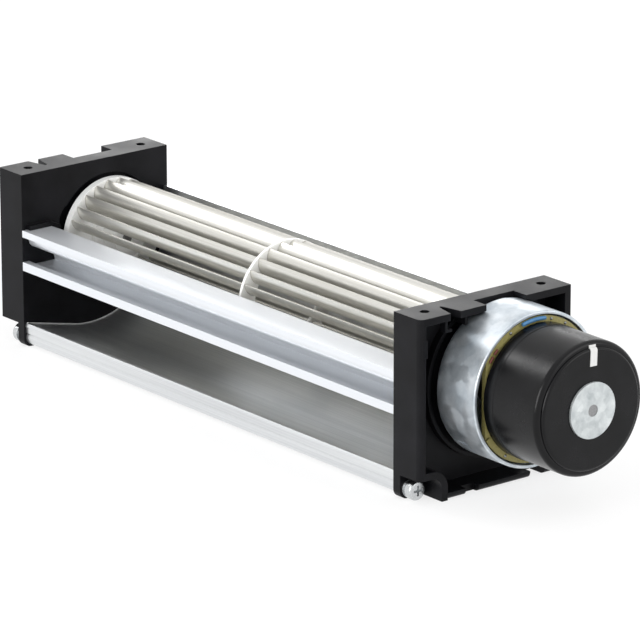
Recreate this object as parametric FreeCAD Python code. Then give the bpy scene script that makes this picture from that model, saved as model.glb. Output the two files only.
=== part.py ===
import FreeCAD, Part
import math
import os

# Tangential blower: a long cross flow impeller turns between two black side plates, over an aluminium
# scroll and behind an aluminium stabiliser, and an external rotor motor drives it from the right plate.
# Millimetres. X runs along the impeller towards the motor, Y from the outlet side to the back, Z up.
# The origin is the middle of the whole blower's underside. Places across the blower are given as
# "back", measured behind the front faces of the plates, and "height", measured above the underside.

V = FreeCAD.Vector
LEFT = -1
RIGHT = 1

# Side plates
INNER_LENGTH = 152.7
PLATE_HEIGHT = 47.0
PLATE_DEPTH = 47.4
PLATE_WEB = 2.6
TRAY_REACH = 10.0
RIM_WALL = 1.8
LEFT_RIM_CORNER = 0.4
RIGHT_RIM_CORNER = 1.5
LUG_CORNER = 2.2

# Cut-outs in the rims of the side plates
MOUNT_HOLE_RADIUS = 1.2
MOUNT_HOLE_REACH = 4.8
MOUNT_HOLE_BACK = 5.6
MOUNT_HOLE_TO_REAR = 5.1
RIM_SLOT_BACK = 9.2
RIM_SLOT_WIDTH = 3.6
RIM_SLOT_ROOT = 4.1
RIM_SLOT_TIP = 0.5
RELIEF_HALF_WIDTH = 6.3
RELIEF_FORWARD = 0.65
RELIEF_REACH = 5.2
POCKET_DEPTH = 7.0
POCKET_HEIGHT = 6.3
POCKET_CORNER = 3.0
FOOT_NOTCH_BACK = 14.6
FOOT_NOTCH_WIDTH = 4.1
FOOT_NOTCH_REACH = 7.8
REAR_NOTCH_BACK = 35.0
REAR_NOTCH_WIDTH = 4.6
REAR_NOTCH_REACH = 4.4

# Recess and ribs on the inner faces of the side plates
RECESS_DEPTH = 1.4
RECESS_CLEARANCE = 0.7
LOBE_RADIUS = 4.4
LOBE_PROUD = 0.8
REAR_LOBE_ANGLE = 30.0
FRONT_LOBE_ANGLE = 154.0
RIB_REACH = 1.5
RIB_WALL = 1.2
RIB_START = 1.5

# Impeller
IMPELLER_RADIUS = 15.2
BLADE_COUNT = 24
BLADE_RADIUS = 14.85
BLADE_ROOT_RADIUS = 11.3
BLADE_CURVE = 3.6
BLADE_THICKNESS = 0.45
SLOT_CLEARANCE = 0.05
SLOT_DEPTH = 1.2
DISC_RIM = 2.0
DISC_RIM_INNER = 10.6
DISC_WEB = 1.0
MIDDLE_DISC = 0.8
MIDDLE_DISC_BORE = 10.4
DISC_GAP = 1.0
SHAFT_RADIUS = 1.5
RUNNING_CLEARANCE = 0.03
HUB_SPIGOT_RADIUS = 3.5
HUB_FLANGE_RADIUS = 6.5
HUB_FLANGE = 1.2
HUB_BOSS_RADIUS = 4.0
HUB_BOSS_LENGTH = 5.6

# Left bearing in its rubber mount
MOUNT_CUP_RADIUS = 6.6
MOUNT_CUP_WALL = 1.4
MOUNT_CUP_END = 1.2
MOUNT_CUP_DEPTH = 6.0
RUBBER_LENGTH = 5.0
SLEEVE_RADIUS = 3.6
SLEEVE_LENGTH = 4.2
RETAINER_RADIUS = 8.6
RETAINER_BORE = 2.4
RETAINER_THICKNESS = 0.4
STUB_END_GAP = 0.9

# Scroll and its screw ports
SCROLL_RADIUS = 25.3
SCROLL_WALL = 1.0
SCROLL_TO_REAR = 0.1
SCROLL_TO_FLOOR = 1.8
SCROLL_RISE = 7.9
LIP_FRONT = 0.7
LIP_HEIGHT = 6.6
LIP_START = 1.3
BEAD_RADIUS = 2.1
BEAD_HEIGHT = 2.6
PORT_OVERLAP = 0.4
PORT_SLIT = 0.8
REAR_PORT_ANGLE = -52.0
FRONT_SLIT_ANGLE = 0.0
HEAD_ROOM = 0.3

# Stabiliser in front of the impeller
STABILISER_RISE = 5.1
STABILISER_DROP = 5.8
STABILISER_WALL = 1.2
STABILISER_GAP = 1.4
CROWN_TO_WALL = 2.5
CROWN_SLOPE = 0.45
UPPER_LIP_HEIGHT = 1.8
UPPER_LIP_DEPTH = 1.6
LOWER_LIP_HEIGHT = 2.3
LOWER_LIP_DEPTH = 2.0
STABILISER_SLIT_ANGLE = -60.0

# Screws, washers and the holes they pass
SCREW_RADIUS = 1.2
SCREW_LENGTH = 9.0
SCREW_HOLE_CLEARANCE = 0.15
THREAD_CLEARANCE = 0.05
CLAMP_HEAD_RADIUS = 2.5
CLAMP_HEAD_HEIGHT = 2.1
SMALL_HEAD_RADIUS = 2.2
SMALL_HEAD_HEIGHT = 1.7
HEAD_CROWN = 0.6
CROSS_WIDTH = 0.6
CROSS_LENGTH = 2.6
CROSS_DEPTH = 1.1
HEAD_TO_RIM = 0.2
WASHER_RADIUS = 2.4
WASHER_THICKNESS = 0.5
SPRING_WASHER_RADIUS = 2.1
SPRING_WASHER_THICKNESS = 0.8
SPRING_WASHER_GAP = 0.4
SPRING_WASHER_TURN = 150.0

# Motor can and its rubber dampers
CAN_RADIUS = 19.6
CAN_WALL = 0.8
CAN_BASE_GAP = 3.0
CAN_CORNER = 1.8
CAN_LENGTH = 15.0
CAN_LIP = 0.35
CAN_CLEARANCE = 0.3
CAN_TO_TOP = 0.5
CAN_RECESS_DEPTH = 0.35
CAN_RECESS_LENGTH = 6.7
CAN_RECESS_HALF_WIDTH = 4.1
CAN_RECESS_ANGLE = 211.0
COLLAR_WALL = 1.0
COLLAR_REACH = 4.8
DAMPER_COUNT = 3
DAMPER_CIRCLE = 12.9
DAMPER_RADIUS = 3.2
DAMPER_NECK_RADIUS = 2.2
DAMPER_TOP = 1.0
DAMPER_START_ANGLE = 30.0
BOSS_RADIUS = 2.9
BOSS_TO_DISC = 1.4

# Bearing tube and stator
SHAFT_HOLE_RADIUS = 5.2
TUBE_RADIUS = 4.6
TUBE_SHOULDER_RADIUS = 5.6
TUBE_FLANGE_RADIUS = 7.5
TUBE_FLANGE = 1.2
TUBE_INNER_END = 1.6
TUBE_TO_ROTOR_FACE = 4.9
BALL_BEARING_RADIUS = 3.5
BALL_BEARING_WIDTH = 3.0
BEARING_STOP = 0.6
TUBE_MOUTH = 0.8
BOARD_UNDER_MOUTH = 0.5
BOARD_THICKNESS = 1.4
BOARD_RADIUS = 18.3
BOARD_FLAT = 15.6
BOARD_NICK_ANGLE = 212.5
BOARD_NICK_WIDTH = 0.5
BOARD_NICK_DEPTH = 1.3
BOARD_TO_STATOR = 3.2
STATOR_TO_TUBE_END = 0.8
STATOR_RADIUS = 14.1
POLE_COUNT = 6
POLE_NECK = 3.4
POLE_SHOE = 1.7
POLE_GAP = 2.2
STATOR_HUB_RADIUS = 7.2
INSULATOR_THICKNESS = 0.8
COIL_WALL = 1.7
COIL_OVERHANG = 2.0
COIL_CLEARANCE = 0.1
JUMPER_RADIUS = 0.5
JUMPER_START_ANGLE = 82.0
JUMPER_SWEEP = 23.0
SENSOR_ANGLE = 300.0
SENSOR_SIZE = 2.4
SENSOR_HEIGHT = 0.5

# Rotor of the motor
ROTOR_RADIUS = 16.85
ROTOR_WALL = 0.9
ROTOR_TO_BOARD = 0.8
ROTOR_FACE = 40.5
ROTOR_CORNER = 1.2
ROTOR_STEP = 0.7
ROTOR_STEP_RADIUS = 14.6
ROTOR_BEAD = 0.12
ROTOR_BEAD_WIDTH = 3.2
MAGNET_WALL = 1.4
MAGNET_INSET = 1.2
MAGNET_TO_FACE = 4.4
HUB_DISC_RADIUS = 7.0
HUB_DISC_PROUD = 0.6
HUB_NECK_RADIUS = 6.3
HUB_INNER_RADIUS = 4.4
HUB_INNER_LENGTH = 2.6
SHAFT_END_SUNK = 0.15
PATCH_WIDTH = 2.1
PATCH_INNER = 10.9
PATCH_OUTER = 16.0
PATCH_ANGLE = 88.0
PATCH_THICKNESS = 0.12
RING_RADIUS = 2.6
RING_THICKNESS = 0.5
AXIAL_PLAY = 0.3

# Small ribs under the top rim of the right plate, and a pad on its front rim
HOOK_BACK = 8.6
HOOK_LEG = 0.7
HOOK_FOOT = 2.1
HOOK_DROP = 3.2
HOOK_REACH = 7.0
HOOK_WIDTH = 2.0
STAY_BACK = 14.8
STAY_DROP = 2.4
PAD_LOW = 37.1
PAD_HEIGHT = 4.5
PAD_THICKNESS = 0.5
PAD_REACH = 8.0

# Places that follow from the sizes
AXIS_BACK = PLATE_DEPTH - CAN_RADIUS - CAN_CLEARANCE
AXIS_HEIGHT = PLATE_HEIGHT - CAN_RADIUS - CAN_TO_TOP
MOUNT_HOLE_SPACING = PLATE_DEPTH - MOUNT_HOLE_BACK - MOUNT_HOLE_TO_REAR
MOTOR_REACH = ROTOR_FACE + HUB_DISC_PROUD
OVERALL_LENGTH = TRAY_REACH + INNER_LENGTH + MOTOR_REACH
LEFT_FACE = TRAY_REACH - OVERALL_LENGTH / 2
RIGHT_FACE = LEFT_FACE + INNER_LENGTH
CAN_PLACE = PLATE_WEB + CAN_BASE_GAP
BOARD_TOP = CAN_PLACE + CAN_LENGTH - BOARD_UNDER_MOUTH
BOARD_PLACE = BOARD_TOP - BOARD_THICKNESS
TUBE_OUTER_END = ROTOR_FACE - TUBE_TO_ROTOR_FACE
STATOR_PLACE = BOARD_TOP + BOARD_TO_STATOR
STATOR_LENGTH = TUBE_OUTER_END - STATOR_TO_TUBE_END - STATOR_PLACE
ROTOR_OPEN_END = BOARD_TOP + ROTOR_TO_BOARD
MAGNET_LENGTH = ROTOR_FACE - MAGNET_TO_FACE - MAGNET_INSET - ROTOR_OPEN_END
PORT_BORE = SCREW_RADIUS + THREAD_CLEARANCE
SCREW_HOLE_RADIUS = SCREW_RADIUS + SCREW_HOLE_CLEARANCE
SCROLL_CENTRE_BACK = PLATE_DEPTH - SCROLL_TO_REAR - SCROLL_WALL - SCROLL_RADIUS
SCROLL_CENTRE_HEIGHT = SCROLL_TO_FLOOR + SCROLL_WALL + SCROLL_RADIUS
SCROLL_TOP = SCROLL_CENTRE_HEIGHT + SCROLL_RISE
BEAD_BACK = LIP_FRONT + BEAD_RADIUS
STABILISER_TOP = AXIS_HEIGHT + STABILISER_RISE
STABILISER_BOTTOM = AXIS_HEIGHT - STABILISER_DROP
CROWN_BACK = AXIS_BACK - IMPELLER_RADIUS - STABILISER_GAP - CROWN_TO_WALL
STABILISER_PORT_BACK = RIM_WALL + SMALL_HEAD_RADIUS + HEAD_TO_RIM
STABILISER_PORT_HEIGHT = STABILISER_TOP - STABILISER_WALL - BEAD_RADIUS + PORT_OVERLAP

# How far a cut runs past the solid that it cuts
CLEAR = 1.0


# Basic shapes

def point(x, back, height):
    """A point at x, some way behind the front face and above the underside."""
    return V(x, back - PLATE_DEPTH / 2, height)


def block(x_low, x_high, back_low, back_high, low, high):
    """An upright box between two places in each direction."""
    corner = point(min(x_low, x_high), back_low, low)
    return Part.makeBox(abs(x_high - x_low), back_high - back_low, high - low, corner)


def rod(x_low, x_high, radius, back=AXIS_BACK, height=AXIS_HEIGHT):
    """A round bar along X, on the impeller's axis unless told otherwise."""
    start = point(min(x_low, x_high), back, height)
    return Part.makeCylinder(radius, abs(x_high - x_low), start, V(1, 0, 0))


def ring(x_low, x_high, outer, inner, back=AXIS_BACK, height=AXIS_HEIGHT):
    """A round tube along X."""
    return rod(x_low, x_high, outer, back, height).cut(rod(x_low, x_high, inner, back, height))


def outline(place, start, steps):
    """A closed wire: each step is an end point, or a pair of a point to pass and an end point."""
    first = place(*start)
    here = first
    edges = []
    for step in steps + [start]:
        if isinstance(step[0], tuple):
            end = place(*step[1])
            edges.append(Part.Arc(here, place(*step[0]), end).toShape())
        else:
            end = place(*step)
            if here.distanceToPoint(end) > 1e-6:
                edges.append(Part.LineSegment(here, end).toShape())
        here = end
    return Part.Wire(edges)


def extrusion(x_low, x_high, start, steps):
    """A bar along X whose section is drawn in (back, height)."""
    face = Part.Face(outline(lambda back, height: point(x_low, back, height), start, steps))
    return face.extrude(V(x_high - x_low, 0, 0))


def turned(start, steps, back=AXIS_BACK, height=AXIS_HEIGHT):
    """A solid turned about a line along X from an outline in (x, radius)."""
    face = Part.Face(outline(lambda x, radius: V(x, radius, 0), start, steps))
    solid = face.revolve(V(0, 0, 0), V(1, 0, 0), 360)
    solid.translate(point(0, back, height))
    return solid


def outside(side, reach):
    """The x of a place that lies reach outside the inner face of one side plate."""
    return RIGHT_FACE + reach if side == RIGHT else LEFT_FACE - reach


def around_axis(radius, angle):
    """The (back, height) of a place at a radius and an angle from +Y about the impeller's axis."""
    turn = math.radians(angle)
    return AXIS_BACK + radius * math.cos(turn), AXIS_HEIGHT + radius * math.sin(turn)


def spun(solid, angle):
    """A copy turned about the impeller's axis."""
    copy = solid.copy()
    copy.rotate(point(0, AXIS_BACK, AXIS_HEIGHT), V(1, 0, 0), angle)
    return copy


def evenly_spun(solid, count, start=0.0):
    """Copies spread evenly about the impeller's axis."""
    return [spun(solid, start + index * 360.0 / count) for index in range(count)]


# Side plates

def tray(side):
    """The open moulded tray of a side plate: a web with a rim all round, and the pocket at its foot."""
    inner, web, edge = outside(side, 0), outside(side, PLATE_WEB), outside(side, TRAY_REACH)
    past = outside(side, TRAY_REACH + CLEAR)
    lug_round = LUG_CORNER * (1 - math.sqrt(0.5))
    body = extrusion(inner, edge, (LUG_CORNER, 0), [
        (PLATE_DEPTH, 0), (PLATE_DEPTH, PLATE_HEIGHT), (0, PLATE_HEIGHT), (0, LUG_CORNER),
        ((lug_round, lug_round), (LUG_CORNER, 0))])
    front = point(0, 0, 0).y
    corner = RIGHT_RIM_CORNER if side == RIGHT else LEFT_RIM_CORNER
    corners = [edge_line for edge_line in body.Edges
               if abs(edge_line.BoundBox.Center.x - edge) < 1e-6 and abs(edge_line.BoundBox.Center.y - front) < 1e-6
               and edge_line.BoundBox.ZLength > PLATE_HEIGHT / 2]
    body = body.makeFillet(corner, corners)
    body = body.cut(block(web, past, RIM_WALL, PLATE_DEPTH - RIM_WALL, RIM_WALL, PLATE_HEIGHT - RIM_WALL))
    shell = pocket_block(web, edge, corner, RIM_WALL)
    return body.fuse(shell).cut(pocket_block(web, past, -CLEAR, 0))


def pocket_block(x_low, x_high, back_low, wall):
    """The pocket's room for a screw, with a round upper rear corner, or with a wall its outside."""
    back, high, corner = POCKET_DEPTH + wall, POCKET_HEIGHT + wall, POCKET_CORNER + wall
    low = 0 if wall else -CLEAR
    bulge = corner * (1 - math.sqrt(0.5))
    return extrusion(x_low, x_high, (back_low, low), [
        (back, low), (back, high - corner), ((back - bulge, high - bulge), (back - corner, high)),
        (back_low, high)])


def rim_slot(side, low, high):
    """The flared slot in the top rim, open to the outside, with a round inner end."""
    mouth = outside(side, TRAY_REACH + CLEAR)
    root, turn = outside(side, RIM_SLOT_ROOT), outside(side, RIM_SLOT_ROOT + RIM_SLOT_TIP)
    middle = RIM_SLOT_BACK + RIM_SLOT_WIDTH / 2
    face = Part.Face(outline(lambda x, back: point(x, back, low), (mouth, RIM_SLOT_BACK), [
        (turn, middle - RIM_SLOT_TIP), ((root, middle), (turn, middle + RIM_SLOT_TIP)),
        (mouth, RIM_SLOT_BACK + RIM_SLOT_WIDTH)]))
    return face.extrude(V(0, 0, high - low))


def rim_cuts(side):
    """The mounting holes, slot, reliefs and foot notches that are cut through the rims."""
    past = outside(side, TRAY_REACH + CLEAR)
    relief = outside(side, RELIEF_REACH)
    under_top = PLATE_HEIGHT - RIM_WALL - CLEAR
    over_top = PLATE_HEIGHT + CLEAR
    behind = PLATE_DEPTH - RIM_WALL - CLEAR
    hole_x = outside(side, MOUNT_HOLE_REACH)
    top_relief = AXIS_BACK - RELIEF_FORWARD
    cuts = [
        Part.makeCylinder(MOUNT_HOLE_RADIUS, over_top - under_top, point(hole_x, back, under_top))
        for back in (MOUNT_HOLE_BACK, MOUNT_HOLE_BACK + MOUNT_HOLE_SPACING)]
    cuts.append(rim_slot(side, under_top, over_top))
    cuts.append(block(relief, past, top_relief - RELIEF_HALF_WIDTH, top_relief + RELIEF_HALF_WIDTH,
                      under_top, over_top))
    cuts.append(block(relief, past, behind, PLATE_DEPTH + CLEAR,
                      AXIS_HEIGHT - RELIEF_HALF_WIDTH, AXIS_HEIGHT + RELIEF_HALF_WIDTH))
    cuts.append(block(outside(side, FOOT_NOTCH_REACH), past, FOOT_NOTCH_BACK,
                      FOOT_NOTCH_BACK + FOOT_NOTCH_WIDTH, -CLEAR, RIM_WALL + CLEAR))
    cuts.append(block(outside(side, REAR_NOTCH_REACH), past, REAR_NOTCH_BACK,
                      REAR_NOTCH_BACK + REAR_NOTCH_WIDTH, -CLEAR, RIM_WALL + CLEAR))
    return cuts


def screw_holes(side):
    """The clearance holes for the three screws that clamp a plate to the scroll and the stabiliser."""
    low, high = outside(side, -CLEAR), outside(side, PLATE_WEB + CLEAR)
    return [rod(low, high, SCREW_HOLE_RADIUS, back, height) for back, height in screw_places()]


def screw_places():
    """The (back, height) of the front, rear and stabiliser screws."""
    return [(BEAD_BACK, BEAD_HEIGHT), rear_port_place(), (STABILISER_PORT_BACK, STABILISER_PORT_HEIGHT)]


def impeller_recess(side):
    """The round recess with two side lobes in which an end of the impeller turns."""
    low, high = outside(side, -CLEAR), outside(side, RECESS_DEPTH)
    radius = IMPELLER_RADIUS + RECESS_CLEARANCE
    recess = rod(low, high, radius)
    for angle in (REAR_LOBE_ANGLE, FRONT_LOBE_ANGLE):
        recess = recess.fuse(rod(low, high, LOBE_RADIUS, *around_axis(radius + LOBE_PROUD - LOBE_RADIUS, angle)))
    return recess


def locating_rib(side):
    """A raised rib on the inner face that the stabiliser's top face rests against."""
    low = STABILISER_TOP + SLOT_CLEARANCE
    high = low + RIB_WALL
    tip_back = stabiliser_tip()[0]
    drop = CROWN_SLOPE * (tip_back - CROWN_BACK)
    return extrusion(outside(side, 0), outside(side, -RIB_REACH), (RIB_START, low), [
        (CROWN_BACK, low), (tip_back, low - drop), (tip_back, high - drop),
        (CROWN_BACK, high), (RIB_START, high)])


def left_side_plate():
    """The left plate: its tray, the impeller's recess and a blind cup for the rubber bearing mount."""
    floor = outside(LEFT, RECESS_DEPTH)
    cup_end = outside(LEFT, RECESS_DEPTH + MOUNT_CUP_DEPTH + MOUNT_CUP_END)
    cup = rod(outside(LEFT, PLATE_WEB / 2 + RECESS_DEPTH / 2), cup_end, MOUNT_CUP_RADIUS + MOUNT_CUP_WALL)
    plate = tray(LEFT).cut(rim_cuts(LEFT) + screw_holes(LEFT) + [impeller_recess(LEFT)])
    plate = plate.fuse([cup, locating_rib(LEFT)])
    return plate.cut(rod(floor, outside(LEFT, RECESS_DEPTH + MOUNT_CUP_DEPTH), MOUNT_CUP_RADIUS))


def damper_places():
    """The (back, height) of the rubber dampers behind the motor can."""
    return [around_axis(DAMPER_CIRCLE, DAMPER_START_ANGLE + index * 360.0 / DAMPER_COUNT)
            for index in range(DAMPER_COUNT)]


def lead_ribs():
    """A small hook for the motor's leads and a stay under the top rim, and a pad on the front rim."""
    low, high = outside(RIGHT, HOOK_REACH), outside(RIGHT, HOOK_REACH + HOOK_WIDTH)
    under = PLATE_HEIGHT - RIM_WALL
    rim = under + RIM_WALL / 2
    foot = under - HOOK_DROP
    hook = extrusion(low, high, (HOOK_BACK, foot), [
        (HOOK_BACK + HOOK_FOOT, foot), (HOOK_BACK + HOOK_FOOT, foot + HOOK_LEG),
        (HOOK_BACK + HOOK_LEG, foot + HOOK_LEG), (HOOK_BACK + HOOK_LEG, rim), (HOOK_BACK, rim)])
    stay = block(outside(RIGHT, PLATE_WEB / 2), high, STAY_BACK, STAY_BACK + HOOK_LEG, under - STAY_DROP, rim)
    pad = block(outside(RIGHT, PAD_REACH), outside(RIGHT, TRAY_REACH), RIM_WALL / 2, RIM_WALL + PAD_THICKNESS,
                PAD_LOW, PAD_LOW + PAD_HEIGHT)
    return [hook, stay, pad]


def right_side_plate():
    """The right plate: its tray, the impeller's recess, screw bosses and the collar round the motor can."""
    web, edge = outside(RIGHT, PLATE_WEB), outside(RIGHT, TRAY_REACH)
    past = outside(RIGHT, TRAY_REACH + CLEAR)
    can_room = CAN_RADIUS + CAN_CLEARANCE
    boss_face = outside(RIGHT, BOSS_TO_DISC - DISC_GAP)
    bosses = [rod(boss_face, web, BOSS_RADIUS, back, height) for back, height in damper_places()]
    tapped = [rod(boss_face - CLEAR, web + CLEAR, PORT_BORE, back, height) for back, height in damper_places()]
    collar = ring(web, outside(RIGHT, COLLAR_REACH), can_room + COLLAR_WALL, can_room)
    collar = collar.common(block(web, edge, RIM_WALL, PLATE_DEPTH, RIM_WALL, PLATE_HEIGHT))
    collar = collar.cut([rod(web, edge, SMALL_HEAD_RADIUS + HEAD_ROOM, *place) for place in screw_places()[1:]])
    plate = tray(RIGHT).cut(rim_cuts(RIGHT) + screw_holes(RIGHT) + [impeller_recess(RIGHT)])
    plate = plate.fuse(bosses + [collar, locating_rib(RIGHT)] + lead_ribs())
    relief = outside(RIGHT, RELIEF_REACH)
    top_relief = AXIS_BACK - RELIEF_FORWARD
    reliefs = [block(relief, past, top_relief - RELIEF_HALF_WIDTH, top_relief + RELIEF_HALF_WIDTH,
                     AXIS_HEIGHT + can_room - COLLAR_WALL, PLATE_HEIGHT + CLEAR),
               block(relief, past, AXIS_BACK + can_room - COLLAR_WALL, PLATE_DEPTH + CLEAR,
                     AXIS_HEIGHT - RELIEF_HALF_WIDTH, AXIS_HEIGHT + RELIEF_HALF_WIDTH)]
    return plate.cut(tapped + reliefs + [rod(relief, past, can_room),
                                         rod(outside(RIGHT, -CLEAR), web + CLEAR, SHAFT_HOLE_RADIUS)])


# Aluminium profiles

def screw_port(back, height, slit_angle):
    """A slit round port that a clamp screw cuts its thread in, as a pair of solid and cut."""
    bar = rod(LEFT_FACE, RIGHT_FACE, BEAD_RADIUS, back, height)
    bore = rod(LEFT_FACE - CLEAR, RIGHT_FACE + CLEAR, PORT_BORE, back, height)
    slit = block(LEFT_FACE - CLEAR, RIGHT_FACE + CLEAR, back, back + BEAD_RADIUS + CLEAR,
                 height - PORT_SLIT / 2, height + PORT_SLIT / 2)
    slit.rotate(point(0, back, height), V(1, 0, 0), slit_angle)
    return bar, bore.fuse(slit)


def on_scroll(radius, angle):
    """The (back, height) of a place at a radius and an angle, in radians, about the scroll's centre."""
    return SCROLL_CENTRE_BACK + radius * math.cos(angle), SCROLL_CENTRE_HEIGHT + radius * math.sin(angle)


def rear_port_place():
    """The (back, height) of the rear port, on the scroll's outside."""
    return on_scroll(SCROLL_RADIUS + SCROLL_WALL + BEAD_RADIUS - PORT_OVERLAP, math.radians(REAR_PORT_ANGLE))


def scroll_housing():
    """The scroll: a floor that rises forwards to the lip, a round back, and a screw port at each corner."""
    rise = SCROLL_CENTRE_HEIGHT - LIP_HEIGHT
    run = SCROLL_CENTRE_BACK - LIP_FRONT
    reach = math.hypot(run, rise)
    lean = math.asin(SCROLL_RADIUS / reach) - math.atan2(rise, run)
    toe = -math.pi / 2 - lean
    outer = SCROLL_RADIUS + SCROLL_WALL
    under_lip = (LIP_FRONT - SCROLL_WALL * math.sin(lean), LIP_HEIGHT - SCROLL_WALL * math.cos(lean))
    sheet = extrusion(LEFT_FACE, RIGHT_FACE, (LIP_FRONT, LIP_HEIGHT), [
        on_scroll(SCROLL_RADIUS, toe),
        (on_scroll(SCROLL_RADIUS, toe / 2), on_scroll(SCROLL_RADIUS, 0)),
        (SCROLL_CENTRE_BACK + SCROLL_RADIUS, SCROLL_TOP), (SCROLL_CENTRE_BACK + outer, SCROLL_TOP),
        on_scroll(outer, 0),
        (on_scroll(outer, toe / 2), on_scroll(outer, toe)),
        under_lip])
    lip = block(LEFT_FACE, RIGHT_FACE, LIP_FRONT, LIP_FRONT + SCROLL_WALL, BEAD_HEIGHT + LIP_START, LIP_HEIGHT)
    front_bar, front_cut = screw_port(BEAD_BACK, BEAD_HEIGHT, FRONT_SLIT_ANGLE)
    rear_bar, rear_cut = screw_port(*rear_port_place(), REAR_PORT_ANGLE)
    return sheet.fuse([lip, front_bar, rear_bar]).cut([front_cut, rear_cut]).removeSplitter()


def stabiliser_tip():
    """The (back, height) where the sloping top face meets the wall that follows the impeller."""
    return slope_meets_wall(IMPELLER_RADIUS + STABILISER_GAP, STABILISER_TOP)


def slope_meets_wall(radius, top):
    """Where the line that slopes down behind the crown, at a given top, meets a circle about the axis."""
    run = AXIS_BACK - CROWN_BACK
    rise = top - AXIS_HEIGHT
    square = 1 + CROWN_SLOPE ** 2
    half = run + CROWN_SLOPE * rise
    root = math.sqrt(half ** 2 - square * (run ** 2 + rise ** 2 - radius ** 2))
    along = (half - root) / square
    return CROWN_BACK + along, top - CROWN_SLOPE * along


def wall_place(radius, height):
    """Where the curved wall at a radius stands at a height, on the front side of the axis."""
    return AXIS_BACK - math.sqrt(radius ** 2 - (height - AXIS_HEIGHT) ** 2), height


def stabiliser():
    """The stabiliser: a channel open to the front, whose back wall follows the impeller's round."""
    near = IMPELLER_RADIUS + STABILISER_GAP
    far = near + STABILISER_WALL
    under = STABILISER_TOP - STABILISER_WALL
    over = STABILISER_BOTTOM + STABILISER_WALL
    middle = AXIS_HEIGHT
    channel = extrusion(LEFT_FACE, RIGHT_FACE, (0, STABILISER_TOP), [
        (CROWN_BACK, STABILISER_TOP), stabiliser_tip(),
        (wall_place(near, middle), wall_place(near, STABILISER_BOTTOM)),
        (0, STABILISER_BOTTOM), (0, STABILISER_BOTTOM + LOWER_LIP_HEIGHT),
        (LOWER_LIP_DEPTH, STABILISER_BOTTOM + LOWER_LIP_HEIGHT), (LOWER_LIP_DEPTH, over),
        wall_place(far, over), (wall_place(far, middle), slope_meets_wall(far, under)),
        (CROWN_BACK, under), (UPPER_LIP_DEPTH, under),
        (UPPER_LIP_DEPTH, STABILISER_TOP - UPPER_LIP_HEIGHT), (0, STABILISER_TOP - UPPER_LIP_HEIGHT)])
    bar, cut = screw_port(STABILISER_PORT_BACK, STABILISER_PORT_HEIGHT, STABILISER_SLIT_ANGLE)
    return channel.fuse(bar).cut(cut).removeSplitter()


# Impeller

def blade_sweep():
    """How far a blade's arc turns between its root and its tip, in radians."""
    across = 2 * BLADE_ROOT_RADIUS * BLADE_CURVE
    bend = 2 * BLADE_CURVE ** 2
    gain = BLADE_RADIUS ** 2 - BLADE_ROOT_RADIUS ** 2 - bend
    return math.asin(gain / math.hypot(across, bend)) + math.atan2(bend, across)


def blade(x_low, x_high, grow=0.0):
    """One curved blade strip, at the angle of +Y; grow thickens it into the slot that holds it."""
    half = BLADE_THICKNESS / 2 + grow
    extra = grow / BLADE_CURVE
    sweep = blade_sweep()
    turns = (-extra, sweep / 2, sweep + extra)

    def on_side(radius, turn):
        return (AXIS_BACK + BLADE_ROOT_RADIUS + radius * math.sin(turn),
                AXIS_HEIGHT - BLADE_CURVE + radius * math.cos(turn))

    inner = [on_side(BLADE_CURVE - half, turn) for turn in turns]
    outer = [on_side(BLADE_CURVE + half, turn) for turn in turns]
    return extrusion(x_low, x_high, inner[0], [(inner[1], inner[2]), outer[2], (outer[1], outer[0])])


def blade_ends():
    """The x of the two ends of the blades, a little short of the slots' floors."""
    inset = DISC_GAP + DISC_RIM - SLOT_DEPTH + SLOT_CLEARANCE
    return outside(LEFT, -inset), outside(RIGHT, -inset)


def impeller_blades():
    """All blades of the impeller, as separate strips."""
    return Part.makeCompound(evenly_spun(blade(*blade_ends()), BLADE_COUNT))


def end_disc(side):
    """An end disc with a thick rim, slotted on its inner side for the blades."""
    face = outside(side, -DISC_GAP)
    rim = outside(side, -DISC_GAP - DISC_RIM)
    web = outside(side, -DISC_GAP - DISC_WEB)
    disc = turned((face, HUB_SPIGOT_RADIUS), [
        (face, IMPELLER_RADIUS), (rim, IMPELLER_RADIUS), (rim, DISC_RIM_INNER), (web, DISC_RIM_INNER),
        (web, HUB_SPIGOT_RADIUS)])
    floor = outside(side, -DISC_GAP - DISC_RIM + SLOT_DEPTH)
    past = outside(side, -DISC_GAP - DISC_RIM - CLEAR)
    slot = blade(min(floor, past), max(floor, past), SLOT_CLEARANCE)
    return disc.cut(evenly_spun(slot, BLADE_COUNT))


def impeller_middle_disc():
    """The thin ring half way along, slotted right through for the blades."""
    middle = (LEFT_FACE + RIGHT_FACE) / 2
    low, high = middle - MIDDLE_DISC / 2, middle + MIDDLE_DISC / 2
    slot = blade(low - CLEAR, high + CLEAR, SLOT_CLEARANCE)
    return ring(low, high, IMPELLER_RADIUS, MIDDLE_DISC_BORE).cut(evenly_spun(slot, BLADE_COUNT))


def impeller_hub(side):
    """A flanged hub: its spigot fills the disc's bore and its boss grips the shaft."""
    face = outside(side, -DISC_GAP)
    web = outside(side, -DISC_GAP - DISC_WEB)
    flange = outside(side, -DISC_GAP - DISC_WEB - HUB_FLANGE)
    end = outside(side, -DISC_GAP - DISC_WEB - HUB_FLANGE - HUB_BOSS_LENGTH)
    return turned((face, SHAFT_RADIUS), [
        (face, HUB_SPIGOT_RADIUS), (web, HUB_SPIGOT_RADIUS), (web, HUB_FLANGE_RADIUS),
        (flange, HUB_FLANGE_RADIUS), (flange, HUB_BOSS_RADIUS), (end, HUB_BOSS_RADIUS), (end, SHAFT_RADIUS)])


def hub_end(side):
    """The x where a hub's boss ends inside the impeller."""
    return outside(side, -DISC_GAP - DISC_WEB - HUB_FLANGE - HUB_BOSS_LENGTH)


# Left bearing

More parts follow.
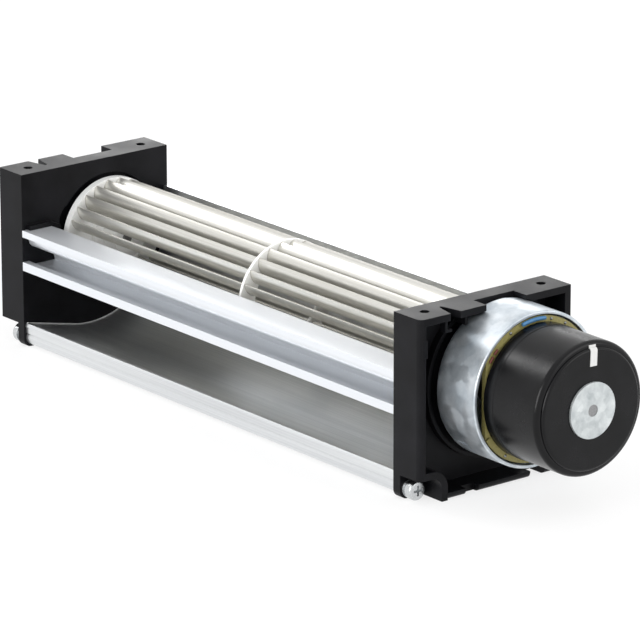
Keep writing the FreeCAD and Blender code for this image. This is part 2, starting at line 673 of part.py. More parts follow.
def stub_shaft():
    """The short shaft of the left hub."""
    return rod(outside(LEFT, RECESS_DEPTH + MOUNT_CUP_DEPTH - STUB_END_GAP), hub_end(LEFT), SHAFT_RADIUS)


def sleeve_bearing():
    """The sintered bronze sleeve that the stub shaft turns in."""
    start = RECESS_DEPTH + (RUBBER_LENGTH - SLEEVE_LENGTH) / 2
    return ring(outside(LEFT, start), outside(LEFT, start + SLEEVE_LENGTH),
                SLEEVE_RADIUS, SHAFT_RADIUS + RUNNING_CLEARANCE)


def bearing_rubber_mount():
    """The rubber ring that carries the sleeve bearing, with a lip over each of its ends."""
    low, high = outside(LEFT, RECESS_DEPTH), outside(LEFT, RECESS_DEPTH + RUBBER_LENGTH)
    lip_bore = (SLEEVE_RADIUS + SHAFT_RADIUS) / 2
    return ring(low, high, MOUNT_CUP_RADIUS, lip_bore).cut(
        rod(outside(LEFT, RECESS_DEPTH + (RUBBER_LENGTH - SLEEVE_LENGTH) / 2),
            outside(LEFT, RECESS_DEPTH + (RUBBER_LENGTH + SLEEVE_LENGTH) / 2), SLEEVE_RADIUS))


def bearing_retainer():
    """The thin steel washer that holds the rubber mount in its cup."""
    return ring(outside(LEFT, RECESS_DEPTH), outside(LEFT, RECESS_DEPTH - RETAINER_THICKNESS),
                RETAINER_RADIUS, RETAINER_BORE)


# Screws and washers

def pan_screw(side, seat, back, height, head_radius, head_height, length):
    """A pan head screw with a cross recess, seated at a reach outside a plate's inner face."""
    under = outside(side, seat)
    shoulder = outside(side, seat + head_height - HEAD_CROWN)
    top = outside(side, seat + head_height)
    tip = outside(side, seat - length)
    crown_radius = head_radius - HEAD_CROWN
    bulge = HEAD_CROWN * math.sqrt(0.5)
    through = (outside(side, seat + head_height - HEAD_CROWN + bulge), crown_radius + bulge)
    screw = turned((tip, 0), [
        (tip, SCREW_RADIUS), (under, SCREW_RADIUS), (under, head_radius), (shoulder, head_radius),
        (through, (top, crown_radius)), (top, 0)], back, height)
    past = outside(side, seat + head_height + CLEAR)
    floor = outside(side, seat + head_height - CROSS_DEPTH)
    half, long = CROSS_WIDTH / 2, CROSS_LENGTH / 2
    return screw.cut([block(floor, past, back - half, back + half, height - long, height + long),
                      block(floor, past, back - long, back + long, height - half, height + half)])


def front_seat():
    """How far outside a plate's inner face the heads of the front screws sit, on their washers."""
    return PLATE_WEB + WASHER_THICKNESS + SPRING_WASHER_THICKNESS


def front_clamp_screws():
    """The two front screws, one through each plate's lug into the scroll's front port."""
    return Part.makeCompound([
        pan_screw(side, front_seat(), BEAD_BACK, BEAD_HEIGHT, CLAMP_HEAD_RADIUS, CLAMP_HEAD_HEIGHT,
                  SCREW_LENGTH + WASHER_THICKNESS + SPRING_WASHER_THICKNESS)
        for side in (LEFT, RIGHT)])


def front_washers():
    """The flat washers against the plates' lugs."""
    return Part.makeCompound([
        ring(outside(side, PLATE_WEB), outside(side, PLATE_WEB + WASHER_THICKNESS),
             WASHER_RADIUS, SCREW_HOLE_RADIUS, BEAD_BACK, BEAD_HEIGHT)
        for side in (LEFT, RIGHT)])


def front_spring_washers():
    """The split spring washers between the flat washers and the heads."""
    rings = []
    for side in (LEFT, RIGHT):
        low, high = outside(side, PLATE_WEB + WASHER_THICKNESS), outside(side, front_seat())
        split = block(low, high, BEAD_BACK - SPRING_WASHER_RADIUS - CLEAR, BEAD_BACK,
                      BEAD_HEIGHT - SPRING_WASHER_GAP / 2, BEAD_HEIGHT + SPRING_WASHER_GAP / 2)
        split.rotate(point(0, BEAD_BACK, BEAD_HEIGHT), V(1, 0, 0), SPRING_WASHER_TURN)
        rings.append(ring(low, high, SPRING_WASHER_RADIUS, SCREW_HOLE_RADIUS, BEAD_BACK, BEAD_HEIGHT).cut(split))
    return Part.makeCompound(rings)


def small_screws(back, height):
    """A pair of screws without washers, one through each plate."""
    return Part.makeCompound([
        pan_screw(side, PLATE_WEB, back, height, SMALL_HEAD_RADIUS, SMALL_HEAD_HEIGHT, SCREW_LENGTH)
        for side in (LEFT, RIGHT)])


# Motor stator, on the right plate

def motor_can():
    """The drawn steel can: a flat base, a rounded corner, a wall with a pressed recess, and a rolled lip."""
    base = outside(RIGHT, CAN_PLACE)
    floor = base + CAN_WALL
    mouth = base + CAN_LENGTH
    inner = CAN_RADIUS - CAN_WALL
    bend = CAN_CORNER - CAN_WALL
    root = math.sqrt(0.5)
    can = turned((base, TUBE_RADIUS), [
        (base, CAN_RADIUS - CAN_CORNER),
        ((base + CAN_CORNER * (1 - root), CAN_RADIUS - CAN_CORNER * (1 - root)), (base + CAN_CORNER, CAN_RADIUS)),
        (mouth - CAN_LIP, CAN_RADIUS),
        ((mouth - CAN_LIP * (1 - root), CAN_RADIUS - CAN_LIP * (1 - root)), (mouth, CAN_RADIUS - CAN_LIP)),
        (mouth, inner), (base + CAN_CORNER, inner),
        ((floor + bend * (1 - root), inner - bend * (1 - root)), (floor, inner - bend)),
        (floor, TUBE_RADIUS)])
    holes = [rod(base - CLEAR, floor + CLEAR, DAMPER_NECK_RADIUS, back, height) for back, height in damper_places()]
    recess_end = base + CAN_RECESS_LENGTH
    recess = ring(base - CLEAR, recess_end, CAN_RADIUS + CLEAR, CAN_RADIUS - CAN_RECESS_DEPTH)
    window = block(base - CLEAR, recess_end, AXIS_BACK, AXIS_BACK + CAN_RADIUS + CLEAR,
                   AXIS_HEIGHT - CAN_RECESS_HALF_WIDTH, AXIS_HEIGHT + CAN_RECESS_HALF_WIDTH)
    return can.cut(holes + [recess.common(spun(window, CAN_RECESS_ANGLE))])


def rubber_dampers():
    """The rubber grommets that the motor can hangs in."""
    low, base = outside(RIGHT, PLATE_WEB), outside(RIGHT, CAN_PLACE)
    floor = base + CAN_WALL
    top = floor + DAMPER_TOP
    return Part.makeCompound([
        turned((low, SCREW_HOLE_RADIUS), [
            (low, DAMPER_RADIUS), (base, DAMPER_RADIUS), (base, DAMPER_NECK_RADIUS),
            (floor, DAMPER_NECK_RADIUS), (floor, DAMPER_RADIUS), (top, DAMPER_RADIUS),
            (top, SCREW_HOLE_RADIUS)], back, height)
        for back, height in damper_places()])


def damper_screws():
    """The screws that hold the dampers to the plate's bosses."""
    seat = CAN_PLACE + CAN_WALL + DAMPER_TOP
    length = seat - (BOSS_TO_DISC - DISC_GAP)
    return Part.makeCompound([
        pan_screw(RIGHT, seat, back, height, CLAMP_HEAD_RADIUS, CLAMP_HEAD_HEIGHT, length)
        for back, height in damper_places()])


def lower_bearing_place():
    """The reach of the inner ball bearing, past the mouth of the tube."""
    return TUBE_INNER_END + TUBE_MOUTH


def upper_bearing_place():
    """The reach of the outer ball bearing."""
    return TUBE_OUTER_END - TUBE_MOUTH - BALL_BEARING_WIDTH


def bearing_tube():
    """The turned tube on the can's base that holds both ball bearings and the stator."""
    x = [outside(RIGHT, reach) for reach in (
        TUBE_INNER_END, CAN_PLACE + CAN_WALL, CAN_PLACE + CAN_WALL + TUBE_FLANGE, BOARD_PLACE, TUBE_OUTER_END)]
    stop_low = outside(RIGHT, lower_bearing_place() + BALL_BEARING_WIDTH)
    stop_high = outside(RIGHT, upper_bearing_place())
    stop = BALL_BEARING_RADIUS - BEARING_STOP
    return turned((x[0], BALL_BEARING_RADIUS), [
        (x[0], TUBE_RADIUS), (x[1], TUBE_RADIUS), (x[1], TUBE_FLANGE_RADIUS), (x[2], TUBE_FLANGE_RADIUS),
        (x[2], TUBE_SHOULDER_RADIUS), (x[3], TUBE_SHOULDER_RADIUS), (x[3], TUBE_RADIUS), (x[4], TUBE_RADIUS),
        (x[4], BALL_BEARING_RADIUS), (stop_high, BALL_BEARING_RADIUS), (stop_high, stop), (stop_low, stop),
        (stop_low, BALL_BEARING_RADIUS)])


def ball_bearings():
    """The two closed ball bearings of the motor shaft."""
    return Part.makeCompound([
        ring(outside(RIGHT, reach), outside(RIGHT, reach + BALL_BEARING_WIDTH),
             BALL_BEARING_RADIUS, SHAFT_RADIUS + RUNNING_CLEARANCE)
        for reach in (lower_bearing_place(), upper_bearing_place())])


def circuit_board():
    """The round circuit board on the tube's shoulder, with a flat on either side and a nick in its edge."""
    low, high = outside(RIGHT, BOARD_PLACE), outside(RIGHT, BOARD_TOP)
    board = ring(low, high, BOARD_RADIUS, TUBE_RADIUS)
    nick = block(low, high, AXIS_BACK + BOARD_RADIUS - BOARD_NICK_DEPTH, AXIS_BACK + BOARD_RADIUS + CLEAR,
                 AXIS_HEIGHT - BOARD_NICK_WIDTH / 2, AXIS_HEIGHT + BOARD_NICK_WIDTH / 2)
    board = board.cut(spun(nick, BOARD_NICK_ANGLE))
    return board.common(block(low, high, AXIS_BACK - BOARD_FLAT, AXIS_BACK + BOARD_FLAT, 0, PLATE_HEIGHT))


def stator_outline(x_low, x_high):
    """The stator's plan: a hub, straight necks and round pole shoes."""
    neck = block(x_low, x_high, AXIS_BACK, AXIS_BACK + STATOR_RADIUS - POLE_SHOE / 2,
                 AXIS_HEIGHT - POLE_NECK / 2, AXIS_HEIGHT + POLE_NECK / 2)
    shoes = ring(x_low, x_high, STATOR_RADIUS, STATOR_RADIUS - POLE_SHOE)
    gap = block(x_low, x_high, AXIS_BACK, AXIS_BACK + STATOR_RADIUS + CLEAR,
                AXIS_HEIGHT - POLE_GAP / 2, AXIS_HEIGHT + POLE_GAP / 2)
    half_pitch = 180.0 / POLE_COUNT
    shoes = shoes.cut(evenly_spun(gap, POLE_COUNT, half_pitch))
    body = rod(x_low, x_high, STATOR_HUB_RADIUS).fuse(evenly_spun(neck, POLE_COUNT) + [shoes])
    return body.cut(rod(x_low, x_high, TUBE_RADIUS)).removeSplitter()


def stator_core():
    """The stack of stator sheets."""
    return stator_outline(outside(RIGHT, STATOR_PLACE), outside(RIGHT, STATOR_PLACE + STATOR_LENGTH))


def winding_insulators():
    """The thin moulded insulators on both faces of the stack."""
    first = stator_outline(outside(RIGHT, STATOR_PLACE - INSULATOR_THICKNESS), outside(RIGHT, STATOR_PLACE))
    end = STATOR_PLACE + STATOR_LENGTH
    second = stator_outline(outside(RIGHT, end), outside(RIGHT, end + INSULATOR_THICKNESS))
    return Part.makeCompound([first, second])


def stator_windings():
    """One coil round the neck of each pole."""
    low = STATOR_PLACE - INSULATOR_THICKNESS - COIL_CLEARANCE
    high = STATOR_PLACE + STATOR_LENGTH + INSULATOR_THICKNESS + COIL_CLEARANCE
    half = POLE_NECK / 2 + COIL_CLEARANCE
    inner = AXIS_BACK + STATOR_HUB_RADIUS + COIL_CLEARANCE
    outer = AXIS_BACK + STATOR_RADIUS - POLE_SHOE - COIL_CLEARANCE
    coil = block(outside(RIGHT, low - COIL_OVERHANG), outside(RIGHT, high + COIL_OVERHANG), inner, outer,
                 AXIS_HEIGHT - half - COIL_WALL, AXIS_HEIGHT + half + COIL_WALL)
    corners = [edge_line for edge_line in coil.Edges if edge_line.BoundBox.YLength > outer - inner - 1e-6]
    coil = coil.makeFillet(COIL_WALL / 2, corners)
    window = block(outside(RIGHT, low), outside(RIGHT, high), inner - CLEAR, outer + CLEAR,
                   AXIS_HEIGHT - half, AXIS_HEIGHT + half)
    coil = coil.cut(window)
    half_pitch = math.pi / POLE_COUNT
    wedge_reach = STATOR_RADIUS + CLEAR
    wedge_side = wedge_reach * math.tan(half_pitch)
    offset = COIL_CLEARANCE / math.sin(half_pitch)
    wedge = extrusion(outside(RIGHT, low - COIL_OVERHANG - CLEAR), outside(RIGHT, high + COIL_OVERHANG + CLEAR),
                      (AXIS_BACK + offset, AXIS_HEIGHT), [
                          (AXIS_BACK + offset + wedge_reach, AXIS_HEIGHT - wedge_side),
                          (AXIS_BACK + offset + wedge_reach, AXIS_HEIGHT + wedge_side)])
    room = rod(outside(RIGHT, low - COIL_OVERHANG), outside(RIGHT, high + COIL_OVERHANG),
               STATOR_RADIUS - POLE_SHOE - COIL_CLEARANCE)
    return Part.makeCompound(evenly_spun(coil.common(wedge).common(room), POLE_COUNT))


def blue_jumper_wire():
    """The blue insulated wire that lies along the edge of the circuit board."""
    radius = BOARD_RADIUS - JUMPER_RADIUS
    wire = Part.makeTorus(radius, JUMPER_RADIUS, V(0, 0, 0), V(0, 0, 1), -180, 180, JUMPER_SWEEP)
    wire.rotate(V(0, 0, 0), V(0, 1, 0), 90)
    wire.rotate(V(0, 0, 0), V(1, 0, 0), 90 + JUMPER_START_ANGLE)
    wire.translate(point(outside(RIGHT, BOARD_TOP + JUMPER_RADIUS), AXIS_BACK, AXIS_HEIGHT))
    return wire


def position_sensor():
    """The small sensor on the board that reads the rotor magnet."""
    low = outside(RIGHT, BOARD_TOP)
    magnet_middle = ROTOR_RADIUS - ROTOR_WALL - MAGNET_WALL / 2
    chip = block(low, low + SENSOR_HEIGHT, AXIS_BACK + magnet_middle - SENSOR_SIZE / 2,
                 AXIS_BACK + magnet_middle + SENSOR_SIZE / 2,
                 AXIS_HEIGHT - SENSOR_SIZE / 2, AXIS_HEIGHT + SENSOR_SIZE / 2)
    return spun(chip, SENSOR_ANGLE)


# Motor rotor

def rotor_skin(start_radius, thickness):
    """The outer line of the rotor cup from its bead to its face, moved out by a thickness."""
    face = outside(RIGHT, ROTOR_FACE)
    ledge = face - ROTOR_STEP
    open_end = outside(RIGHT, ROTOR_OPEN_END)
    bead = open_end + ROTOR_BEAD_WIDTH
    wall = ROTOR_RADIUS + thickness
    corner = ROTOR_CORNER + thickness
    shoulder = ROTOR_STEP + thickness
    bulge = math.sqrt(0.5)
    low_turn = math.asin(thickness / shoulder)
    middle_turn = (low_turn + math.pi / 2) / 2
    return [(open_end, wall + ROTOR_BEAD), (bead, wall + ROTOR_BEAD), (bead + ROTOR_BEAD, wall),
            (ledge - ROTOR_CORNER, wall),
            ((ledge - ROTOR_CORNER + corner * bulge, ROTOR_RADIUS - ROTOR_CORNER + corner * bulge),
             (ledge + thickness, ROTOR_RADIUS - ROTOR_CORNER)),
            (ledge + thickness, ROTOR_STEP_RADIUS + shoulder * math.cos(low_turn)),
            ((ledge + shoulder * math.sin(middle_turn), ROTOR_STEP_RADIUS + shoulder * math.cos(middle_turn)),
             (ledge + shoulder, ROTOR_STEP_RADIUS)),
            (face + thickness, start_radius)]


def rotor_cup():
    """The drawn steel cup of the rotor, with a wide band at its open end and a stepped edge to its face."""
    open_end = outside(RIGHT, ROTOR_OPEN_END)
    inner_face = outside(RIGHT, ROTOR_FACE - ROTOR_WALL)
    inner_ledge = inner_face - ROTOR_STEP
    inner = ROTOR_RADIUS - ROTOR_WALL
    inner_step = ROTOR_STEP_RADIUS - ROTOR_STEP
    return turned((open_end, inner), rotor_skin(HUB_NECK_RADIUS, 0.0) + [
        (inner_face, HUB_NECK_RADIUS), (inner_face, inner_step), (inner_ledge, inner_step), (inner_ledge, inner)])


def rotor_magnet():
    """The magnet ring bonded inside the rotor cup."""
    start = ROTOR_OPEN_END + MAGNET_INSET
    inner = ROTOR_RADIUS - ROTOR_WALL
    return ring(outside(RIGHT, start), outside(RIGHT, start + MAGNET_LENGTH), inner, inner - MAGNET_WALL)


def rotor_hub():
    """The die-cast hub: a disc on the cup's face, a neck through it and a boss that grips the shaft."""
    top = outside(RIGHT, MOTOR_REACH)
    face = outside(RIGHT, ROTOR_FACE)
    under = outside(RIGHT, ROTOR_FACE - ROTOR_WALL)
    end = outside(RIGHT, ROTOR_FACE - ROTOR_WALL - HUB_INNER_LENGTH)
    return turned((top, SHAFT_RADIUS), [
        (top, HUB_DISC_RADIUS), (face, HUB_DISC_RADIUS), (face, HUB_NECK_RADIUS), (under, HUB_NECK_RADIUS),
        (under, HUB_INNER_RADIUS), (end, HUB_INNER_RADIUS), (end, SHAFT_RADIUS)])


def balance_patch():
    """The small grey balancing patch that lies over the rotor's face and its rounded corner."""
    outer = turned((outside(RIGHT, ROTOR_OPEN_END), 0), rotor_skin(0, PATCH_THICKNESS))
    inner = turned((outside(RIGHT, ROTOR_OPEN_END), 0), rotor_skin(0, 0.0))
    strip = block(outside(RIGHT, ROTOR_FACE - ROTOR_STEP - ROTOR_CORNER), outside(RIGHT, ROTOR_FACE + CLEAR),
                  AXIS_BACK + PATCH_INNER, AXIS_BACK + PATCH_OUTER,
                  AXIS_HEIGHT - PATCH_WIDTH / 2, AXIS_HEIGHT + PATCH_WIDTH / 2)
    return outer.cut(inner).common(spun(strip, PATCH_ANGLE))


def motor_shaft():
    """The shaft from the right hub, through both ball bearings, into the rotor hub."""
    return rod(hub_end(RIGHT), outside(RIGHT, MOTOR_REACH - SHAFT_END_SUNK), SHAFT_RADIUS)


def shaft_retaining_ring():
    """The ring on the shaft that stops the inner ball bearing."""
    high = lower_bearing_place() - AXIAL_PLAY
    return ring(outside(RIGHT, high - RING_THICKNESS), outside(RIGHT, high), RING_RADIUS, SHAFT_RADIUS)


def bearing_spacer():
    """The sleeve between the outer ball bearing and the rotor hub."""
    low = upper_bearing_place() + BALL_BEARING_WIDTH + AXIAL_PLAY
    high = ROTOR_FACE - ROTOR_WALL - HUB_INNER_LENGTH
    return ring(outside(RIGHT, low), outside(RIGHT, high), RING_RADIUS, SHAFT_RADIUS)


NODES = {
    "left_side_plate": left_side_plate,
    "right_side_plate": right_side_plate,
    "scroll_housing": scroll_housing,
    "stabiliser": stabiliser,
    "impeller_blades": impeller_blades,
    "impeller_left_disc": lambda: end_disc(LEFT),
    "impeller_middle_disc": impeller_middle_disc,
    "impeller_right_disc": lambda: end_disc(RIGHT),
    "impeller_left_hub": lambda: impeller_hub(LEFT),
    "impeller_right_hub": lambda: impeller_hub(RIGHT),
    "stub_shaft": stub_shaft,
    "sleeve_bearing": sleeve_bearing,
    "bearing_rubber_mount": bearing_rubber_mount,
    "bearing_retainer": bearing_retainer,
    "front_clamp_screws": front_clamp_screws,
    "front_washers": front_washers,
    "front_spring_washers": front_spring_washers,
    "rear_clamp_screws": lambda: small_screws(*rear_port_place()),
    "stabiliser_screws": lambda: small_screws(STABILISER_PORT_BACK, STABILISER_PORT_HEIGHT),
    "motor_can": motor_can,
    "rubber_dampers": rubber_dampers,
    "damper_screws": damper_screws,
    "bearing_tube": bearing_tube,
    "ball_bearings": ball_bearings,
    "circuit_board": circuit_board,
    "blue_jumper_wire": blue_jumper_wire,
    "position_sensor": position_sensor,
    "stator_core": stator_core,
    "winding_insulators": winding_insulators,
    "stator_windings": stator_windings,
    "rotor_cup": rotor_cup,
    "rotor_magnet": rotor_magnet,
    "rotor_hub": rotor_hub,
    "balance_patch": balance_patch,
    "motor_shaft": motor_shaft,
    "shaft_retaining_ring": shaft_retaining_ring,
    "bearing_spacer": bearing_spacer,
}


def main():
    """Build each node and write it to its own file."""
    os.makedirs("parts", exist_ok=True)
    for name, build in NODES.items():
        build().exportStep(os.path.join("parts", name + ".step"))


main()
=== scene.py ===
"""Dresses a cross flow fan and sets it in a plain white studio.

The fan is a long bladed impeller between two black side plates, with an aluminium scroll below it, an
aluminium stabiliser in front of it and an external rotor motor on its right end. Lengths are in metres, in
the frame of the solids: X runs along the impeller towards the motor, Y from the outlet side to the back and
Z up from the underside.
"""
from __future__ import annotations

import logging
import math
from dataclasses import dataclass
from enum import Enum
from typing import Any, ClassVar, Mapping, Sequence

import bmesh
import bpy
import numpy as np
from mathutils import Matrix, Vector


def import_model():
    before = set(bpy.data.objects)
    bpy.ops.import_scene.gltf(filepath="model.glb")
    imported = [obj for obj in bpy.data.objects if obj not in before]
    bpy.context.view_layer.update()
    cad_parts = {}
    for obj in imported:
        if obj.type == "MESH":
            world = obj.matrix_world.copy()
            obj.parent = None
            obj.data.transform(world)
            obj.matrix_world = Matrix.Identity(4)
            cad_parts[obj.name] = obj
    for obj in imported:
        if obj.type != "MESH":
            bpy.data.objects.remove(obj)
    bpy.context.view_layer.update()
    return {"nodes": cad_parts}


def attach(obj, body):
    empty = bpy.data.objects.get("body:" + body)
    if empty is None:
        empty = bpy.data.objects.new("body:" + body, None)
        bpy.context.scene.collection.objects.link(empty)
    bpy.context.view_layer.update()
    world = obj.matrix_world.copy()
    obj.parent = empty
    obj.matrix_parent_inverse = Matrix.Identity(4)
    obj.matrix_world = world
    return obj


LOG = logging.getLogger("cross_flow_fan")
MM = 0.001
FULL_TURN = 2.0 * math.pi
WHITE_LIGHT = (1.0, 1.0, 1.0, 1.0)
# Points nearer than this are one point
MERGE_DISTANCE = 1e-7


class Body(Enum):
    """The two bodies of the fan."""

    HOUSING = "housing"
    ROTOR = "rotor"


def linear(hex_colour: str) -> tuple[float, float, float, float]:
    """Turns an sRGB hex colour to linear light.

    Args:
        hex_colour: Six hex digits, such as "C8CBD0".

    Returns:
        Red, green, blue and an alpha of one.
    """
    parts = np.array([int(hex_colour[i:i + 2], 16) for i in (0, 2, 4)]) / 255.0
    light = np.where(parts <= 0.04045, parts / 12.92, ((parts + 0.055) / 1.055) ** 2.4)
    return (*light.tolist(), 1.0)


def add_node(tree: bpy.types.NodeTree, kind: str, inputs: Mapping[Any, Any] | None = None,
             **settings: Any) -> bpy.types.Node:
    """Adds one node with its settings and links.

    Args:
        tree: The node tree to add to.
        kind: The node's type name.
        inputs: Socket names or numbers, each with a value or an output socket to link from.
        **settings: Properties of the node itself.

    Returns:
        The new node.
    """
    node = tree.nodes.new(kind)
    for name, value in settings.items():
        setattr(node, name, value)
    for key, value in (inputs or {}).items():
        if isinstance(value, bpy.types.NodeSocket):
            tree.links.new(value, node.inputs[key])
        else:
            node.inputs[key].default_value = value
    return node


# Finishes

@dataclass(frozen=True)
class Finish:
    """One surface finish: a plain shader that the kinds of finish below add their pattern to."""

    name: str
    slot: str
    colour: str
    roughness: float
    metallic: float = 0.0
    ior: float = 1.5
    specular: float = 0.5
    edge_radius: float = 0.1 * MM

    def material(self) -> bpy.types.Material:
        """Makes the finish, or returns it if it is there already.

        Returns:
            The material, with its pattern linked to the shader.
        """
        made = bpy.data.materials.get(self.name)
        if made is not None:
            return made
        made = bpy.data.materials.new(self.name)
        made.use_nodes = True
        made.diffuse_color = linear(self.colour)
        made.metallic = self.metallic
        made.roughness = self.roughness
        tree = made.node_tree
        tree.nodes.clear()
        shader = add_node(tree, "ShaderNodeBsdfPrincipled", {
            "Base Color": linear(self.colour), "Metallic": self.metallic, "Roughness": self.roughness})
        if self.metallic < 1.0:
            shader.inputs["IOR"].default_value = self.ior
            shader.inputs["Specular IOR Level"].default_value = self.specular
        add_node(tree, "ShaderNodeOutputMaterial", {"Surface": shader.outputs["BSDF"]})
        self.pattern(tree, shader)
        return made

    def pattern(self, tree: bpy.types.NodeTree, shader: bpy.types.Node) -> None:
        """Adds nothing: a plain finish has no pattern."""

    @staticmethod
    def place(tree: bpy.types.NodeTree, *pitch: float) -> bpy.types.NodeSocket:
        """Gives object coordinates counted in steps of a pattern's pitch.

        Args:
            tree: The material's nodes.
            *pitch: The pattern's size in metres, either one for all or one each for X, Y and Z.

        Returns:
            The coordinates' output socket.
        """
        sizes = pitch * 3 if len(pitch) == 1 else pitch
        where = add_node(tree, "ShaderNodeTexCoord")
        steps = add_node(tree, "ShaderNodeMapping", {
            "Vector": where.outputs["Object"], "Scale": tuple(1.0 / size for size in sizes)})
        return steps.outputs["Vector"]

    @staticmethod
    def paint(shader: bpy.types.Node, value: bpy.types.NodeSocket, first: str, second: str,
              start: float = 0.3, end: float = 0.7) -> None:
        """Blends two colours by a pattern's value.

        Args:
            shader: The finish's shader.
            value: The pattern's output socket.
            first: The hex colour at the start.
            second: The hex colour at the end.
            start: The pattern's value that gives the first colour.
            end: The pattern's value that gives the second colour.
        """
        tree = shader.id_data
        share = add_node(tree, "ShaderNodeMapRange", {"Value": value, "From Min": start, "From Max": end})
        blend = add_node(tree, "ShaderNodeMix", {
            0: share.outputs["Result"], 6: linear(first), 7: linear(second)}, data_type="RGBA")
        tree.links.new(blend.outputs[2], shader.inputs["Base Color"])

    def dull(self, shader: bpy.types.Node, value: bpy.types.NodeSocket, below: float, above: float,
             start: float = 0.3, end: float = 0.7) -> None:
        """Varies the gloss by a pattern's value.

        Args:
            shader: The finish's shader.
            value: The pattern's output socket.
            below: How far under the finish's roughness it is at the start.
            above: How far over the finish's roughness it is at the end.
            start: The pattern's value that gives the lowest roughness.
            end: The pattern's value that gives the highest roughness.
        """
        tree = shader.id_data
        swing = add_node(tree, "ShaderNodeMapRange", {
            "Value": value, "From Min": start, "From Max": end,
            "To Min": self.roughness - below, "To Max": self.roughness + above})
        tree.links.new(swing.outputs["Result"], shader.inputs["Roughness"])

    def relief(self, shader: bpy.types.Node, height: bpy.types.NodeSocket, distance: float,
               strength: float = 1.0) -> None:
        """Raises a pattern off the surface, over edges softened by the finish's edge radius.

        Args:
            shader: The finish's shader.
            height: The pattern's output socket.
            distance: How far it rises, in metres.
            strength: The share of it that shows.
        """
        tree = shader.id_data
        bump = add_node(tree, "ShaderNodeBump", {
            "Height": height, "Distance": distance, "Strength": strength})
        if self.edge_radius > 0.0:
            edge = add_node(tree, "ShaderNodeBevel", {"Radius": self.edge_radius}, samples=4)
            tree.links.new(edge.outputs["Normal"], bump.inputs["Normal"])
        tree.links.new(bump.outputs["Normal"], shader.inputs["Normal"])


@dataclass(frozen=True)
class MouldedPlastic(Finish):
    """Glass-filled plastic from an eroded mould: matt, faintly grained, with edges that catch the light."""

    edge_radius: float = 0.25 * MM
    # The grain of an eroded mould is about 0.1 mm; it is drawn coarser so that it shows
    grain: float = 0.45 * MM
    grain_height: float = 0.012 * MM
    cloud: float = 9 * MM
    cloud_colour: str = "17171A"

    def pattern(self, tree: bpy.types.NodeTree, shader: bpy.types.Node) -> None:
        """Adds erosion grain, cloudy colour, uneven gloss and soft edges.

        Args:
            tree: The material's nodes.
            shader: The finish's shader.
        """
        grain = add_node(tree, "ShaderNodeTexNoise", {
            "Vector": self.place(tree, self.grain), "Scale": 1.0, "Detail": 3.0, "Roughness": 0.6})
        cloud = add_node(tree, "ShaderNodeTexNoise", {
            "Vector": self.place(tree, self.cloud), "Scale": 1.0, "Detail": 4.0})
        self.paint(shader, cloud.outputs["Fac"], self.colour, self.cloud_colour)
        self.dull(shader, cloud.outputs["Fac"], 0.04, 0.05)
        self.relief(shader, grain.outputs["Fac"], self.grain_height)


@dataclass(frozen=True)
class DrawnAluminium(Finish):
    """Aluminium extruded or rolled along X: long die lines, and broad bands a little duller."""

    edge_radius: float = 0.12 * MM
    # Real die lines lie about 0.1 mm apart; these are drawn coarser so that they show
    line: float = 0.35 * MM
    line_length: float = 60 * MM
    line_height: float = 0.0015 * MM
    band: float = 3.5 * MM
    band_length: float = 90 * MM
    dull_colour: str = "CDCFD2"
    gloss_swing: float = 0.04

    def pattern(self, tree: bpy.types.NodeTree, shader: bpy.types.Node) -> None:
        """Adds die lines in colour, gloss and height, and broad dull bands.

        Args:
            tree: The material's nodes.
            shader: The finish's shader.
        """
        lines = add_node(tree, "ShaderNodeTexNoise", {
            "Vector": self.place(tree, self.line_length, self.line, self.line), "Scale": 1.0,
            "Detail": 3.0, "Roughness": 0.55})
        bands = add_node(tree, "ShaderNodeTexNoise", {
            "Vector": self.place(tree, self.band_length, self.band, self.band), "Scale": 1.0,
            "Detail": 3.0})
        both = add_node(tree, "ShaderNodeMath", {
            0: lines.outputs["Fac"], 1: bands.outputs["Fac"], 2: 0.2}, operation="MULTIPLY_ADD")
        self.paint(shader, both.outputs["Value"], self.colour, self.dull_colour, 0.3, 0.6)
        self.dull(shader, bands.outputs["Fac"], self.gloss_swing, self.gloss_swing)
        self.relief(shader, lines.outputs["Fac"], self.line_height)


